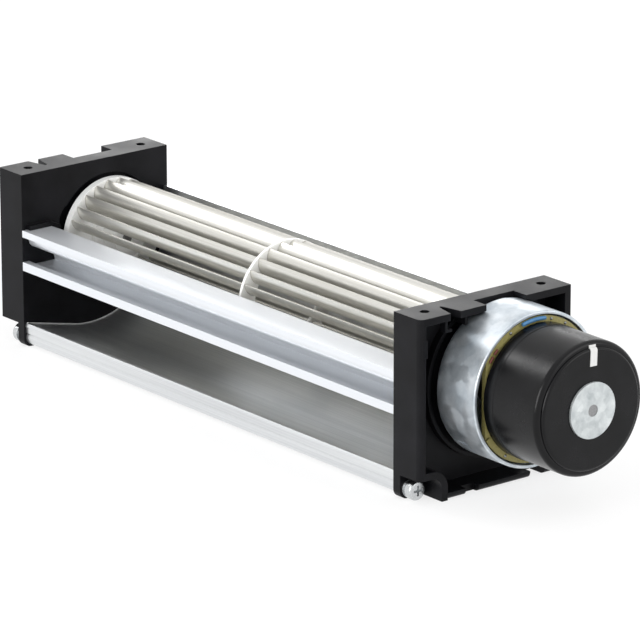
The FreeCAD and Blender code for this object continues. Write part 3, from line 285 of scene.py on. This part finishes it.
@dataclass(frozen=True)
class SpangledZinc(Finish):
    """Hot-dip galvanised sheet or bare zinc casting: cloudy, with flat grains of unlike grey and gloss."""

    edge_radius: float = 0.12 * MM
    spangle: float = 2.4 * MM
    dark_colour: str = "8E979E"
    pale_colour: str = "D6DADC"
    grain_height: float = 0.01 * MM
    cloud_to_spangle: float = 3.2

    def pattern(self, tree: bpy.types.NodeTree, shader: bpy.types.Node) -> None:
        """Adds spangle cells whose outlines are stirred, clouds and a faint grain.

        Args:
            tree: The material's nodes.
            shader: The finish's shader.
        """
        stir = add_node(tree, "ShaderNodeTexNoise", {
            "Vector": self.place(tree, self.spangle), "Scale": 0.8, "Detail": 4.0, "Roughness": 0.6})
        where = add_node(tree, "ShaderNodeMix", {
            0: 0.55, 4: self.place(tree, self.spangle), 5: stir.outputs["Color"]}, data_type="VECTOR")
        cells = add_node(tree, "ShaderNodeTexVoronoi", feature="SMOOTH_F1")
        cells.inputs["Scale"].default_value = 1.6
        cells.inputs["Smoothness"].default_value = 0.35
        tree.links.new(where.outputs[1], cells.inputs["Vector"])
        tone = add_node(tree, "ShaderNodeSeparateColor", {"Color": cells.outputs["Color"]})
        cloud = add_node(tree, "ShaderNodeTexNoise", {
            "Vector": self.place(tree, self.cloud_to_spangle * self.spangle), "Scale": 1.0, "Detail": 5.0,
            "Roughness": 0.62})
        clearer = add_node(tree, "ShaderNodeMapRange", {
            "Value": cloud.outputs["Fac"], "From Min": 0.3, "From Max": 0.7, "To Max": 0.65})
        mottle = add_node(tree, "ShaderNodeMath", {
            0: tone.outputs["Red"], 1: 0.35, 2: clearer.outputs["Result"]}, operation="MULTIPLY_ADD")
        self.paint(shader, mottle.outputs["Value"], self.dark_colour, self.pale_colour, 0.0, 1.0)
        self.dull(shader, tone.outputs["Green"], 0.07, 0.1, 0.2, 0.8)
        self.relief(shader, cloud.outputs["Fac"], self.grain_height, 0.6)


@dataclass(frozen=True)
class StovingEnamel(Finish):
    """Black stoving enamel on a drawn steel cup: semi-gloss, with the faint orange peel of a spray."""

    edge_radius: float = 0.0
    peel: float = 1.1 * MM
    peel_height: float = 0.006 * MM
    cloud: float = 7 * MM
    dust_colour: str = "101012"

    def pattern(self, tree: bpy.types.NodeTree, shader: bpy.types.Node) -> None:
        """Adds orange peel and faint uneven gloss.

        Args:
            tree: The material's nodes.
            shader: The finish's shader.
        """
        peel = add_node(tree, "ShaderNodeTexNoise", {
            "Vector": self.place(tree, self.peel), "Scale": 1.0, "Detail": 2.0})
        cloud = add_node(tree, "ShaderNodeTexNoise", {
            "Vector": self.place(tree, self.cloud), "Scale": 1.0, "Detail": 4.0})
        self.paint(shader, cloud.outputs["Fac"], self.colour, self.dust_colour)
        self.dull(shader, cloud.outputs["Fac"], 0.03, 0.05)
        self.relief(shader, peel.outputs["Fac"], self.peel_height)


@dataclass(frozen=True)
class GrainedPart(Finish):
    """Small plated, ground, moulded or sintered parts: a fine grain in colour, gloss and height."""

    # Real grain is well under 0.1 mm here; it is drawn coarser so that it shows
    grain: float = 0.3 * MM
    grain_height: float = 0.004 * MM
    second_colour: str = "808080"

    def pattern(self, tree: bpy.types.NodeTree, shader: bpy.types.Node) -> None:
        """Adds a fine grain in colour, gloss and height, and soft edges.

        Args:
            tree: The material's nodes.
            shader: The finish's shader.
        """
        grain = add_node(tree, "ShaderNodeTexNoise", {
            "Vector": self.place(tree, self.grain), "Scale": 1.0, "Detail": 4.0, "Roughness": 0.6})
        self.paint(shader, grain.outputs["Fac"], self.colour, self.second_colour)
        self.dull(shader, grain.outputs["Fac"], 0.04, 0.06)
        self.relief(shader, grain.outputs["Fac"], self.grain_height)


# Glass-filled nylon, moulded black and matt: under a pale sky its tops look grey
PLATE_PLASTIC = MouldedPlastic("glass_filled_nylon_black", "black_moulding", "0A0A0C", 0.42,
                               specular=0.12)
# Aluminium as it leaves the extrusion press: silky, a little blue, with die lines along it
PRESSED_ALUMINIUM = DrawnAluminium("mill_finish_aluminium", "extruded_aluminium", "E4E6E7", 0.34, 0.94,
                                   dull_colour="D2D4D6")
# The same metal on the stabiliser, etched matt, so that its channel stays pale
ETCHED_ALUMINIUM = DrawnAluminium("etched_aluminium", "extruded_aluminium", "DEE1E5", 0.34, 0.6,
                                  dull_colour="DCDFE3")
# The scroll's thin round end edge, in a paler and less metallic copy of the aluminium: a painted highlight,
# so that a thin bright line shows beside the black plate
EDGE_HIGHLIGHT_FINISH = GrainedPart("aluminium_edge_with_painted_highlight", "extruded_aluminium", "F4F4F2", 0.35, 0.3,
                        second_colour="E2E2E0")
# Bright rolled aluminium strip: glossier and a little warmer than the profiles
BLADE_STRIP = DrawnAluminium("bright_rolled_strip", "impeller_aluminium", "DEDDD8", 0.38, 0.82,
                             dull_colour="C8C6BE", line=0.25 * MM)
# The same metal stamped to discs and hubs: satin, so pale that the end of the wheel looks white
DISC_SHEET = GrainedPart("stamped_aluminium_disc", "impeller_aluminium", "FAFAF9", 0.4, 0.25,
                         second_colour="F2F2F0")
# Moulded white plastic of the disc half way along: opaque, hardly glossy, a thin white ring
WHITE_MOULDING = GrainedPart("white_moulded_disc", "white_disc", "FAFAF7", 0.4, second_colour="F4F3EF")
# Bright zinc plate on small steel screws and washers: clear, slightly blue, glossy
ZINC_PLATE = GrainedPart("bright_zinc_plate", "zinc_plated_steel", "D9DBDC", 0.22, 1.0,
                         second_colour="BFC2C4")
# Hot-dip galvanised deep drawing sheet: pale blue-grey, cloudy, spangled
GALVANISED_SHEET = SpangledZinc("galvanised_sheet", "galvanised_steel", "CCD2D8", 0.42, 0.85,
                                dark_colour="A0ABB4", pale_colour="EAEFF3")
# Bare zinc die casting: finer mottling, duller and more neutral
DIE_CAST_ZINC = SpangledZinc("bare_zinc_casting", "die_cast_zinc", "C6CBCC", 0.5, 0.5, spangle=1.2 * MM,
                             dark_colour="A5ABAD", pale_colour="DADEDE")
# Ground silver steel of the shafts and bearings: bright, even, neutral grey
GROUND_STEEL = GrainedPart("ground_silver_steel", "ground_steel", "A0A0A1", 0.3, 1.0,
                           second_colour="868687")
# Semi-gloss black enamel of the rotor cup: black, with soft pale reflections along its rounding
ROTOR_ENAMEL = StovingEnamel("black_stoving_enamel", "black_enamel", "060607", 0.24, specular=0.22)
# Natural rubber of the dampers: black, without gloss
DAMPER_RUBBER = GrainedPart("moulded_damper_rubber", "black_rubber", "1B1B1C", 0.75,
                            second_colour="262627")
# Oil-filled sintered bronze: brown metal, a little porous
OILED_BRONZE = GrainedPart("oiled_bronze_sleeve", "sintered_bronze", "A07C4C", 0.45, 1.0,
                           second_colour="7E6038")
# Bare paper laminate of the round board: yellow-green, dull
PAPER_LAMINATE = GrainedPart("paper_laminate", "board_laminate", "A59C60", 0.5, grain=0.5 * MM,
                             second_colour="8A824F")
# Moulded natural nylon of the coil formers: cream, half matt
NATURAL_NYLON = GrainedPart("natural_nylon_former", "insulator_moulding", "D9D2BC", 0.45,
                            second_colour="CBC3AA")
# Blue wire insulation: a clear mid blue, half matt
BLUE_SLEEVE = GrainedPart("blue_wire_insulation", "blue_insulation", "447CA8", 0.4,
                          second_colour="3F76A6")
# Dark red enamel on the ends of the coils, where they reach the board
LEAD_ENAMEL = GrainedPart("red_wire_enamel", "enamelled_copper", "5E2A22", 0.35, second_colour="6E3A2E")
# Tin solder, bright where it has flowed
TIN_SOLDER = GrainedPart("tin_solder", "zinc_plated_steel", "A2A5A7", 0.35, 1.0, second_colour="8A8D8F")
# Black epoxy of the sensor: dull, almost black
SENSOR_EPOXY = GrainedPart("black_sensor_epoxy", "sensor_moulding", "202022", 0.5, second_colour="2A2A2C")
# Stamped electrical sheet of the stator: dark grey metal, half matt
STATOR_SHEET = GrainedPart("electrical_sheet", "stator_steel", "6B6C6F", 0.45, 1.0, second_colour="57585B")
# Enamelled copper wire of the coils: glossy red-brown
COPPER_WIRE = GrainedPart("copper_winding_wire", "enamelled_copper", "8E4A22", 0.3, second_colour="7A3C1A")
# Plastic-bonded ferrite of the magnet: matt charcoal
BONDED_FERRITE = GrainedPart("bonded_ferrite", "bonded_magnet", "3A3A3C", 0.6, second_colour="323234")
# Thin balancing film on the rotor: pale grey, matt, even
BALANCE_FILM = GrainedPart("grey_balance_film", "grey_patch", "D6D6D4", 0.5, second_colour="CACAC8")


# Surfaces

# Where the steps close to an end lie, as shares of its tip
CLOSE_STEPS = (0.1, 0.3, 0.6)


def closed_surface(name: str, grids: np.ndarray, body: Body, finish: Finish) -> bpy.types.Object:
    """Turns grids of points into one mesh of closed skins and hangs it on a body.

    Each grid is a function of two parameters: its rows run from pole to pole and its columns once round.
    Every cell of a grid is one face, and points that meet at a pole are merged.

    Args:
        name: The piece's name.
        grids: Points in metres, as an array of pieces, rows, columns and three coordinates.
        body: The body that carries the piece.
        finish: The piece's finish.

    Returns:
        The new piece.
    """
    count, rows, columns = grids.shape[:3]
    index = np.arange(count * rows * columns).reshape(count, rows, columns)
    beside = np.roll(index, -1, axis=2)
    faces = np.stack([index[:, :-1], beside[:, :-1], beside[:, 1:], index[:, 1:]], axis=-1).reshape(-1, 4)
    mesh = bpy.data.meshes.new(name)
    mesh.from_pydata(grids.reshape(-1, 3).tolist(), [], faces.tolist())
    shape = bmesh.new()
    shape.from_mesh(mesh)
    bmesh.ops.remove_doubles(shape, verts=shape.verts[:], dist=MERGE_DISTANCE)
    bmesh.ops.recalc_face_normals(shape, faces=shape.faces[:])
    shape.to_mesh(mesh)
    shape.free()
    mesh.polygons.foreach_set("use_smooth", np.ones(len(mesh.polygons), dtype=bool))
    mesh.materials.append(finish.material())
    piece = bpy.data.objects.new(name, mesh)
    bpy.context.scene.collection.objects.link(piece)
    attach(piece, body.value)
    LOG.info("%s: %d faces in %s", name, len(mesh.polygons), finish.name)
    return piece


def upright_tube(across: np.ndarray, x: float | np.ndarray, radius: float, sides: int) -> np.ndarray:
    """Carries a circle along a path that lies in a plane square to X.

    A point is the path's point plus the radius times (the cosine of the turn times the path's normal plus
    the sine of the turn times X). The radius falls to zero at both ends along a quarter circle.

    Args:
        across: The path's Y and Z, in metres, one row to a point.
        x: The path's X, for the whole path or for each point.
        radius: The tube's radius.
        sides: How many points go round it.

    Returns:
        The grid of points, rows along the path and columns round it.
    """
    along = np.gradient(across, axis=0)
    along /= np.linalg.norm(along, axis=1, keepdims=True)
    normal = np.stack([np.zeros(len(across)), -along[:, 1], along[:, 0]], axis=1)
    length = np.concatenate([[0.0], np.cumsum(np.linalg.norm(np.diff(across, axis=0), axis=1))])
    to_end = np.minimum(length, length[-1] - length) / radius
    swell = radius * np.sqrt(np.clip(1.0 - (1.0 - np.clip(to_end, 0.0, 1.0)) ** 2, 0.0, 1.0))
    turn = np.linspace(0.0, FULL_TURN, sides, endpoint=False)
    centre = np.column_stack([np.broadcast_to(x, len(across)), across])
    spoke = np.cos(turn)[None, :, None] * normal[:, None, :]
    spoke = spoke + np.sin(turn)[None, :, None] * np.array([1.0, 0.0, 0.0])
    return centre[:, None, :] + swell[:, None, None] * spoke


def end_steps(start: float, end: float, count: int, tip: float) -> np.ndarray:
    """Spreads steps evenly between two ends, with more of them close to each end.

    Args:
        start: The first value.
        end: The last value.
        count: How many even steps.
        tip: How far from each end the closer steps reach, as a share of the whole.

    Returns:
        The steps in rising order of share, from the start to the end.
    """
    close = tip * np.array(CLOSE_STEPS)
    share = np.unique(np.concatenate([np.linspace(0.0, 1.0, count), close, 1.0 - close]))
    return start + (end - start) * share


# Sub-assemblies

@dataclass
class SubAssembly:
    """Pieces of the fan that are put together before the rest, with the finish of each solid."""

    solids: Mapping[str, bpy.types.Object]
    finishes: ClassVar[dict[str, Finish]] = {}

    def dress(self) -> None:
        """Gives every solid of the sub-assembly its finish."""
        for name, finish in self.finishes.items():
            solid = self.solids[name]
            made = finish.material()
            if not solid.material_slots:
                solid.data.materials.append(made)
            for slot in solid.material_slots:
                slot.material = made
            LOG.info("%s is finished in %s", name, finish.name)

    def build(self) -> None:
        """Adds nothing: its solids are all it has."""


@dataclass
class SidePlates(SubAssembly):
    """The two black moulded trays that hold everything else."""

    finishes: ClassVar[dict[str, Finish]] = {
        "left_side_plate": PLATE_PLASTIC,
        "right_side_plate": PLATE_PLASTIC,
    }


@dataclass
class AirDuct(SubAssembly):
    """The aluminium scroll under the impeller and the stabiliser in front of it."""

    finishes: ClassVar[dict[str, Finish]] = {
        "scroll_housing": PRESSED_ALUMINIUM,
        "stabiliser": ETCHED_ALUMINIUM,
    }
    left_face: float = -91.9 * MM
    scroll_radius: float = 25.3 * MM
    scroll_centre: tuple[float, float] = (-2.7 * MM, 28.1 * MM)
    lip: tuple[float, float] = (-23.0 * MM, 6.6 * MM)
    edge_radius: float = 0.11 * MM
    edge_sides: int = 10
    last_angle: float = math.radians(-25.0)
    arc_steps: int = 60
    straight_steps: int = 24

    def build(self) -> None:
        """Adds a thin round edge to the scroll, where it meets the left plate, in a pale finish that paints
        a highlight along it.
        """
        closed_surface("scroll_edge_with_painted_highlight", self.scroll_end_edge()[None], Body.HOUSING, EDGE_HIGHLIGHT_FINISH)

    def scroll_end_edge(self) -> np.ndarray:
        """Carries a thin round edge along the scroll's inner outline.

        The outline is a straight line from the lip to where it touches the scroll's circle, and then the
        circle: centre plus radius times the cosine and sine of the angle.

        Returns:
            The grid of points.
        """
        centre, lip = np.array(self.scroll_centre), np.array(self.lip)
        run, rise = centre - lip
        lean = math.asin(self.scroll_radius / math.hypot(run, rise)) - math.atan2(rise, run)
        toe = -math.pi / 2 - lean
        inner = self.scroll_radius - self.edge_radius
        angle = np.linspace(toe, self.last_angle, self.arc_steps)
        arc = centre + inner * np.column_stack([np.cos(angle), np.sin(angle)])
        raised = lip + self.edge_radius * np.array([math.sin(lean), math.cos(lean)])
        share = np.linspace(0.0, 1.0, self.straight_steps, endpoint=False)[:, None]
        path = np.concatenate([raised + share * (arc[0] - raised), arc])
        return upright_tube(path, self.left_face + self.edge_radius, self.edge_radius, self.edge_sides)


@dataclass
class Impeller(SubAssembly):
    """The long wheel: 24 curved strips in slotted discs, with a hub in each end disc."""

    finishes: ClassVar[dict[str, Finish]] = {
        "impeller_blades": BLADE_STRIP,
        "impeller_left_disc": DISC_SHEET,
        "impeller_right_disc": DISC_SHEET,
        "impeller_middle_disc": WHITE_MOULDING,
        "impeller_left_hub": DISC_SHEET,
        "impeller_right_hub": DISC_SHEET,
        "stub_shaft": GROUND_STEEL,
    }


@dataclass
class LeftBearing(SubAssembly):
    """The sleeve bearing in its rubber ring, behind a thin washer."""

    finishes: ClassVar[dict[str, Finish]] = {
        "sleeve_bearing": OILED_BRONZE,
        "bearing_rubber_mount": DAMPER_RUBBER,
        "bearing_retainer": ZINC_PLATE,
    }


@dataclass
class Fasteners(SubAssembly):
    """The screws and washers that clamp the plates to the profiles."""

    finishes: ClassVar[dict[str, Finish]] = {
        "front_clamp_screws": ZINC_PLATE,
        "front_washers": ZINC_PLATE,
        "front_spring_washers": ZINC_PLATE,
        "rear_clamp_screws": ZINC_PLATE,
        "stabiliser_screws": ZINC_PLATE,
    }


@dataclass
class MotorStator(SubAssembly):
    """The motor's can on its rubber dampers, the board in its mouth and the wound stack."""

    finishes: ClassVar[dict[str, Finish]] = {
        "motor_can": GALVANISED_SHEET,
        "rubber_dampers": DAMPER_RUBBER,
        "damper_screws": ZINC_PLATE,
        "bearing_tube": GROUND_STEEL,
        "ball_bearings": GROUND_STEEL,
        "circuit_board": PAPER_LAMINATE,
        "blue_jumper_wire": BLUE_SLEEVE,
        "position_sensor": SENSOR_EPOXY,
        "stator_core": STATOR_SHEET,
        "winding_insulators": NATURAL_NYLON,
        "stator_windings": COPPER_WIRE,
    }
    board_top: float = 80.9 * MM
    axis: tuple[float, float] = (3.8 * MM, 26.9 * MM)
    joint_circle: float = 17.55 * MM
    joint_radius: float = 0.42 * MM
    joint_height: float = 0.35 * MM
    joint_angles: tuple[float, ...] = (58.0, 74.0, 117.0, 238.0, 262.0)
    joint_hollow: float = 1.5
    joint_rings: int = 6
    joint_sides: int = 10
    lead_circle: float = 17.5 * MM
    lead_radius: float = 0.33 * MM
    lead_spans: tuple[tuple[float, float], ...] = ((134.0, 139.5), (141.0, 147.0))
    lead_steps: int = 12
    lead_tip: float = 0.18
    lead_sides: int = 8

    def build(self) -> None:
        """Adds the board's solder joints and the coil ends that reach it."""
        closed_surface("board_solder_joints", self.solder_joints(), Body.HOUSING, TIN_SOLDER)
        closed_surface("coil_lead_ends", self.lead_ends(), Body.HOUSING, LEAD_ENAMEL)

    def around(self, radius: float | np.ndarray, degrees: np.ndarray) -> np.ndarray:
        """Gives the Y and Z of places about the axis: the axis plus radius times cosine and sine."""
        turn = np.radians(degrees)
        return np.array(self.axis) + np.stack([radius * np.cos(turn), radius * np.sin(turn)], axis=-1)

    def solder_joints(self) -> np.ndarray:
        """Makes a small cone of solder at each pin.

        A point is the joint's middle plus its radius times the cosine of the rise, to the power that
        hollows the cone, round the pin, and its height times the sine of the rise along X. The foot closes
        to a point on the board.

        Returns:
            The grids of points.
        """
        rise = np.linspace(0.0, math.pi / 2, self.joint_rings)
        reach = np.concatenate([[0.0], self.joint_radius * np.cos(rise) ** self.joint_hollow])
        reach[-1] = 0.0
        lift = np.concatenate([[0.0], self.joint_height * np.sin(rise)])
        turn = np.linspace(0.0, FULL_TURN, self.joint_sides, endpoint=False)
        middle = self.around(self.joint_circle, np.array(self.joint_angles))
        spoke = np.stack([np.cos(turn), np.sin(turn)], axis=-1)
        across = middle[:, None, None, :] + reach[None, :, None, None] * spoke[None, None]
        x = np.broadcast_to(self.board_top + lift[None, :, None, None], across.shape[:3] + (1,))
        return np.concatenate([x, across], axis=-1)

    def lead_ends(self) -> np.ndarray:
        """Carries a circle along a short arc on the board for each coil end.

        Returns:
            The grids of points.
        """
        height = self.board_top + self.lead_radius
        steps = [end_steps(low, high, self.lead_steps, self.lead_tip) for low, high in self.lead_spans]
        return np.stack([upright_tube(self.around(self.lead_circle, degrees), height, self.lead_radius,
                                      self.lead_sides) for degrees in steps])


@dataclass
class MotorRotor(SubAssembly):
    """The black cup that turns outside the stator, with its magnet, hub and shaft."""

    finishes: ClassVar[dict[str, Finish]] = {
        "rotor_cup": ROTOR_ENAMEL,
        "rotor_magnet": BONDED_FERRITE,
        "rotor_hub": DIE_CAST_ZINC,
        "balance_patch": BALANCE_FILM,
        "motor_shaft": GROUND_STEEL,
        "shaft_retaining_ring": GROUND_STEEL,
        "bearing_spacer": GROUND_STEEL,
    }


SUB_ASSEMBLIES = (SidePlates, AirDuct, Impeller, LeftBearing, Fasteners, MotorStator, MotorRotor)


# Studio

def seen_rays(tree: bpy.types.NodeTree) -> bpy.types.NodeSocket:
    """Gives one for camera, glossy and transmission rays, so that metal shows the white background too.

    Args:
        tree: The nodes to add to.

    Returns:
        The sum's output socket, clamped to one.
    """
    path = add_node(tree, "ShaderNodeLightPath")
    shiny = add_node(tree, "ShaderNodeMath", {
        0: path.outputs["Is Glossy Ray"], 1: path.outputs["Is Transmission Ray"]}, operation="ADD")
    return add_node(tree, "ShaderNodeMath", {0: path.outputs["Is Camera Ray"], 1: shiny.outputs["Value"]},
                    operation="ADD", use_clamp=True).outputs["Value"]


@dataclass(frozen=True)
class Softbox:
    """A square area lamp that points at the fan's middle."""

    name: str
    place: tuple[float, float, float]
    size: float
    power: float
    target: tuple[float, float, float] = (0.0, 0.0, 0.02)

    def hang(self) -> None:
        """Adds the lamp to the scene."""
        data = bpy.data.lights.new(self.name, "AREA")
        data.shape = "SQUARE"
        data.size = self.size
        data.energy = self.power
        lamp = bpy.data.objects.new(self.name, data)
        aim = (Vector(self.target) - Vector(self.place)).to_track_quat("-Z", "Y")
        lamp.matrix_world = Matrix.Translation(self.place) @ aim.to_matrix().to_4x4()
        bpy.context.scene.collection.objects.link(lamp)


@dataclass
class Studio:
    """A white table under a pale sky, with a camera far off so that the fan hardly tapers."""

    camera_place: tuple[float, float, float] = (0.9945, -0.7913, 0.4236)
    azimuth: float = 51.41
    elevation: float = 17.40
    roll: float = -0.09
    focal_pixels: float = 5305.5
    frame_pixels: float = 640.0
    sensor: float = 36.0
    nearest: float = 0.05
    farthest: float = 50.0
    floor_size: float = 6.0
    floor_colour: str = "FCFCFC"
    floor_glow: float = 0.75
    front_sky: str = "DCDEE0"
    back_sky: str = "FFFFFF"
    sky_strength: float = 1.0
    sky_rise: tuple[float, float, float] = (0.45, 0.6, 0.66)
    sky_span: tuple[float, float] = (-0.6, 0.7)
    softboxes: tuple[Softbox, ...] = (
        Softbox("overhead_softbox", (0.05, 0.1, 0.75), 0.7, 0.5),
        Softbox("rear_softbox", (-0.62, 0.49, 0.155), 0.22, 0.8),
        Softbox("left_softbox", (-0.62, -0.24, 0.52), 0.22, 1.25),
        Softbox("right_softbox", (0.9, 0.5, 0.45), 0.7, 3.0),
        Softbox("front_softbox", (0.1, -0.9, 0.3), 0.5, 4.5),
    )

    def build(self) -> None:
        """Makes the camera, the world, the lamps and the floor."""
        self.make_camera()
        self.make_world()
        for softbox in self.softboxes:
            softbox.hang()
        self.make_floor()
        LOG.info("studio is set")

    def make_camera(self) -> None:
        """Places the camera; its lens is the focal length in pixels times the sensor over the frame."""
        turn, tilt = math.radians(self.azimuth), math.radians(self.elevation)
        back = Vector((math.sin(turn) * math.cos(tilt), -math.cos(turn) * math.cos(tilt), math.sin(tilt)))
        level = Vector((math.cos(turn), math.sin(turn), 0.0))
        up = back.cross(level)
        lean = math.radians(self.roll)
        right = math.cos(lean) * level + math.sin(lean) * up
        upright = -math.sin(lean) * level + math.cos(lean) * up
        data = bpy.data.cameras.new("studio_camera")
        data.sensor_fit = "HORIZONTAL"
        data.sensor_width = self.sensor
        data.lens = self.focal_pixels * self.sensor / self.frame_pixels
        data.clip_start = self.nearest
        data.clip_end = self.farthest
        camera = bpy.data.objects.new("studio_camera", data)
        turned = Matrix((right, upright, back)).transposed().to_4x4()
        camera.matrix_world = Matrix.Translation(self.camera_place) @ turned
        bpy.context.scene.collection.objects.link(camera)
        bpy.context.scene.camera = camera

    def make_world(self) -> None:
        """Makes a sky that is dimmer in front of the fan, and white to the camera and to metal."""
        scene = bpy.context.scene
        world = bpy.data.worlds.new("pale_sky")
        scene.world = world
        world.use_nodes = True
        tree = world.node_tree
        tree.nodes.clear()
        where = add_node(tree, "ShaderNodeTexCoord")
        facing = add_node(tree, "ShaderNodeVectorMath", {
            0: where.outputs["Generated"], 1: self.sky_rise}, operation="DOT_PRODUCT")
        ramp = add_node(tree, "ShaderNodeMapRange", {
            "Value": facing.outputs["Value"], "From Min": self.sky_span[0], "From Max": self.sky_span[1]})
        colour = add_node(tree, "ShaderNodeMix", {
            0: ramp.outputs["Result"], 6: linear(self.front_sky), 7: linear(self.back_sky)},
            data_type="RGBA")
        sky = add_node(tree, "ShaderNodeBackground", {
            "Color": colour.outputs[2], "Strength": self.sky_strength})
        white = add_node(tree, "ShaderNodeBackground", {"Color": WHITE_LIGHT, "Strength": 1.0})
        mixed = add_node(tree, "ShaderNodeMixShader", {
            0: seen_rays(tree), 1: sky.outputs["Background"], 2: white.outputs["Background"]})
        add_node(tree, "ShaderNodeOutputWorld", {"Surface": mixed.outputs["Shader"]})

    def make_floor(self) -> None:
        """Lays a white floor that glows to the camera and to metal, so that only a soft shadow shows."""
        half = self.floor_size / 2
        mesh = bpy.data.meshes.new("studio_floor")
        mesh.from_pydata([(-half, -half, 0.0), (half, -half, 0.0), (half, half, 0.0), (-half, half, 0.0)],
                         [], [(0, 1, 2, 3)])
        floor = bpy.data.objects.new("studio_floor", mesh)
        bpy.context.scene.collection.objects.link(floor)
        paint = bpy.data.materials.new("white_floor_paint")
        paint.use_nodes = True
        tree = paint.node_tree
        tree.nodes.clear()
        matt = add_node(tree, "ShaderNodeBsdfDiffuse", {"Color": linear(self.floor_colour)})
        glow = add_node(tree, "ShaderNodeEmission", {"Color": WHITE_LIGHT, "Strength": 1.0})
        share = add_node(tree, "ShaderNodeMath", {
            0: seen_rays(tree), 1: self.floor_glow}, operation="MULTIPLY")
        mixed = add_node(tree, "ShaderNodeMixShader", {
            0: share.outputs["Value"], 1: matt.outputs["BSDF"], 2: glow.outputs["Emission"]})
        add_node(tree, "ShaderNodeOutputMaterial", {"Surface": mixed.outputs["Shader"]})
        mesh.materials.append(paint)


def main() -> None:
    """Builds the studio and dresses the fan."""
    logging.basicConfig(level=logging.INFO, format="%(message)s")
    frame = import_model()
    bpy.context.scene.view_settings.view_transform = "Standard"
    Studio().build()
    for kind in SUB_ASSEMBLIES:
        part = kind(frame["nodes"])
        part.dress()
        part.build()


if __name__ == "__main__":
    main()
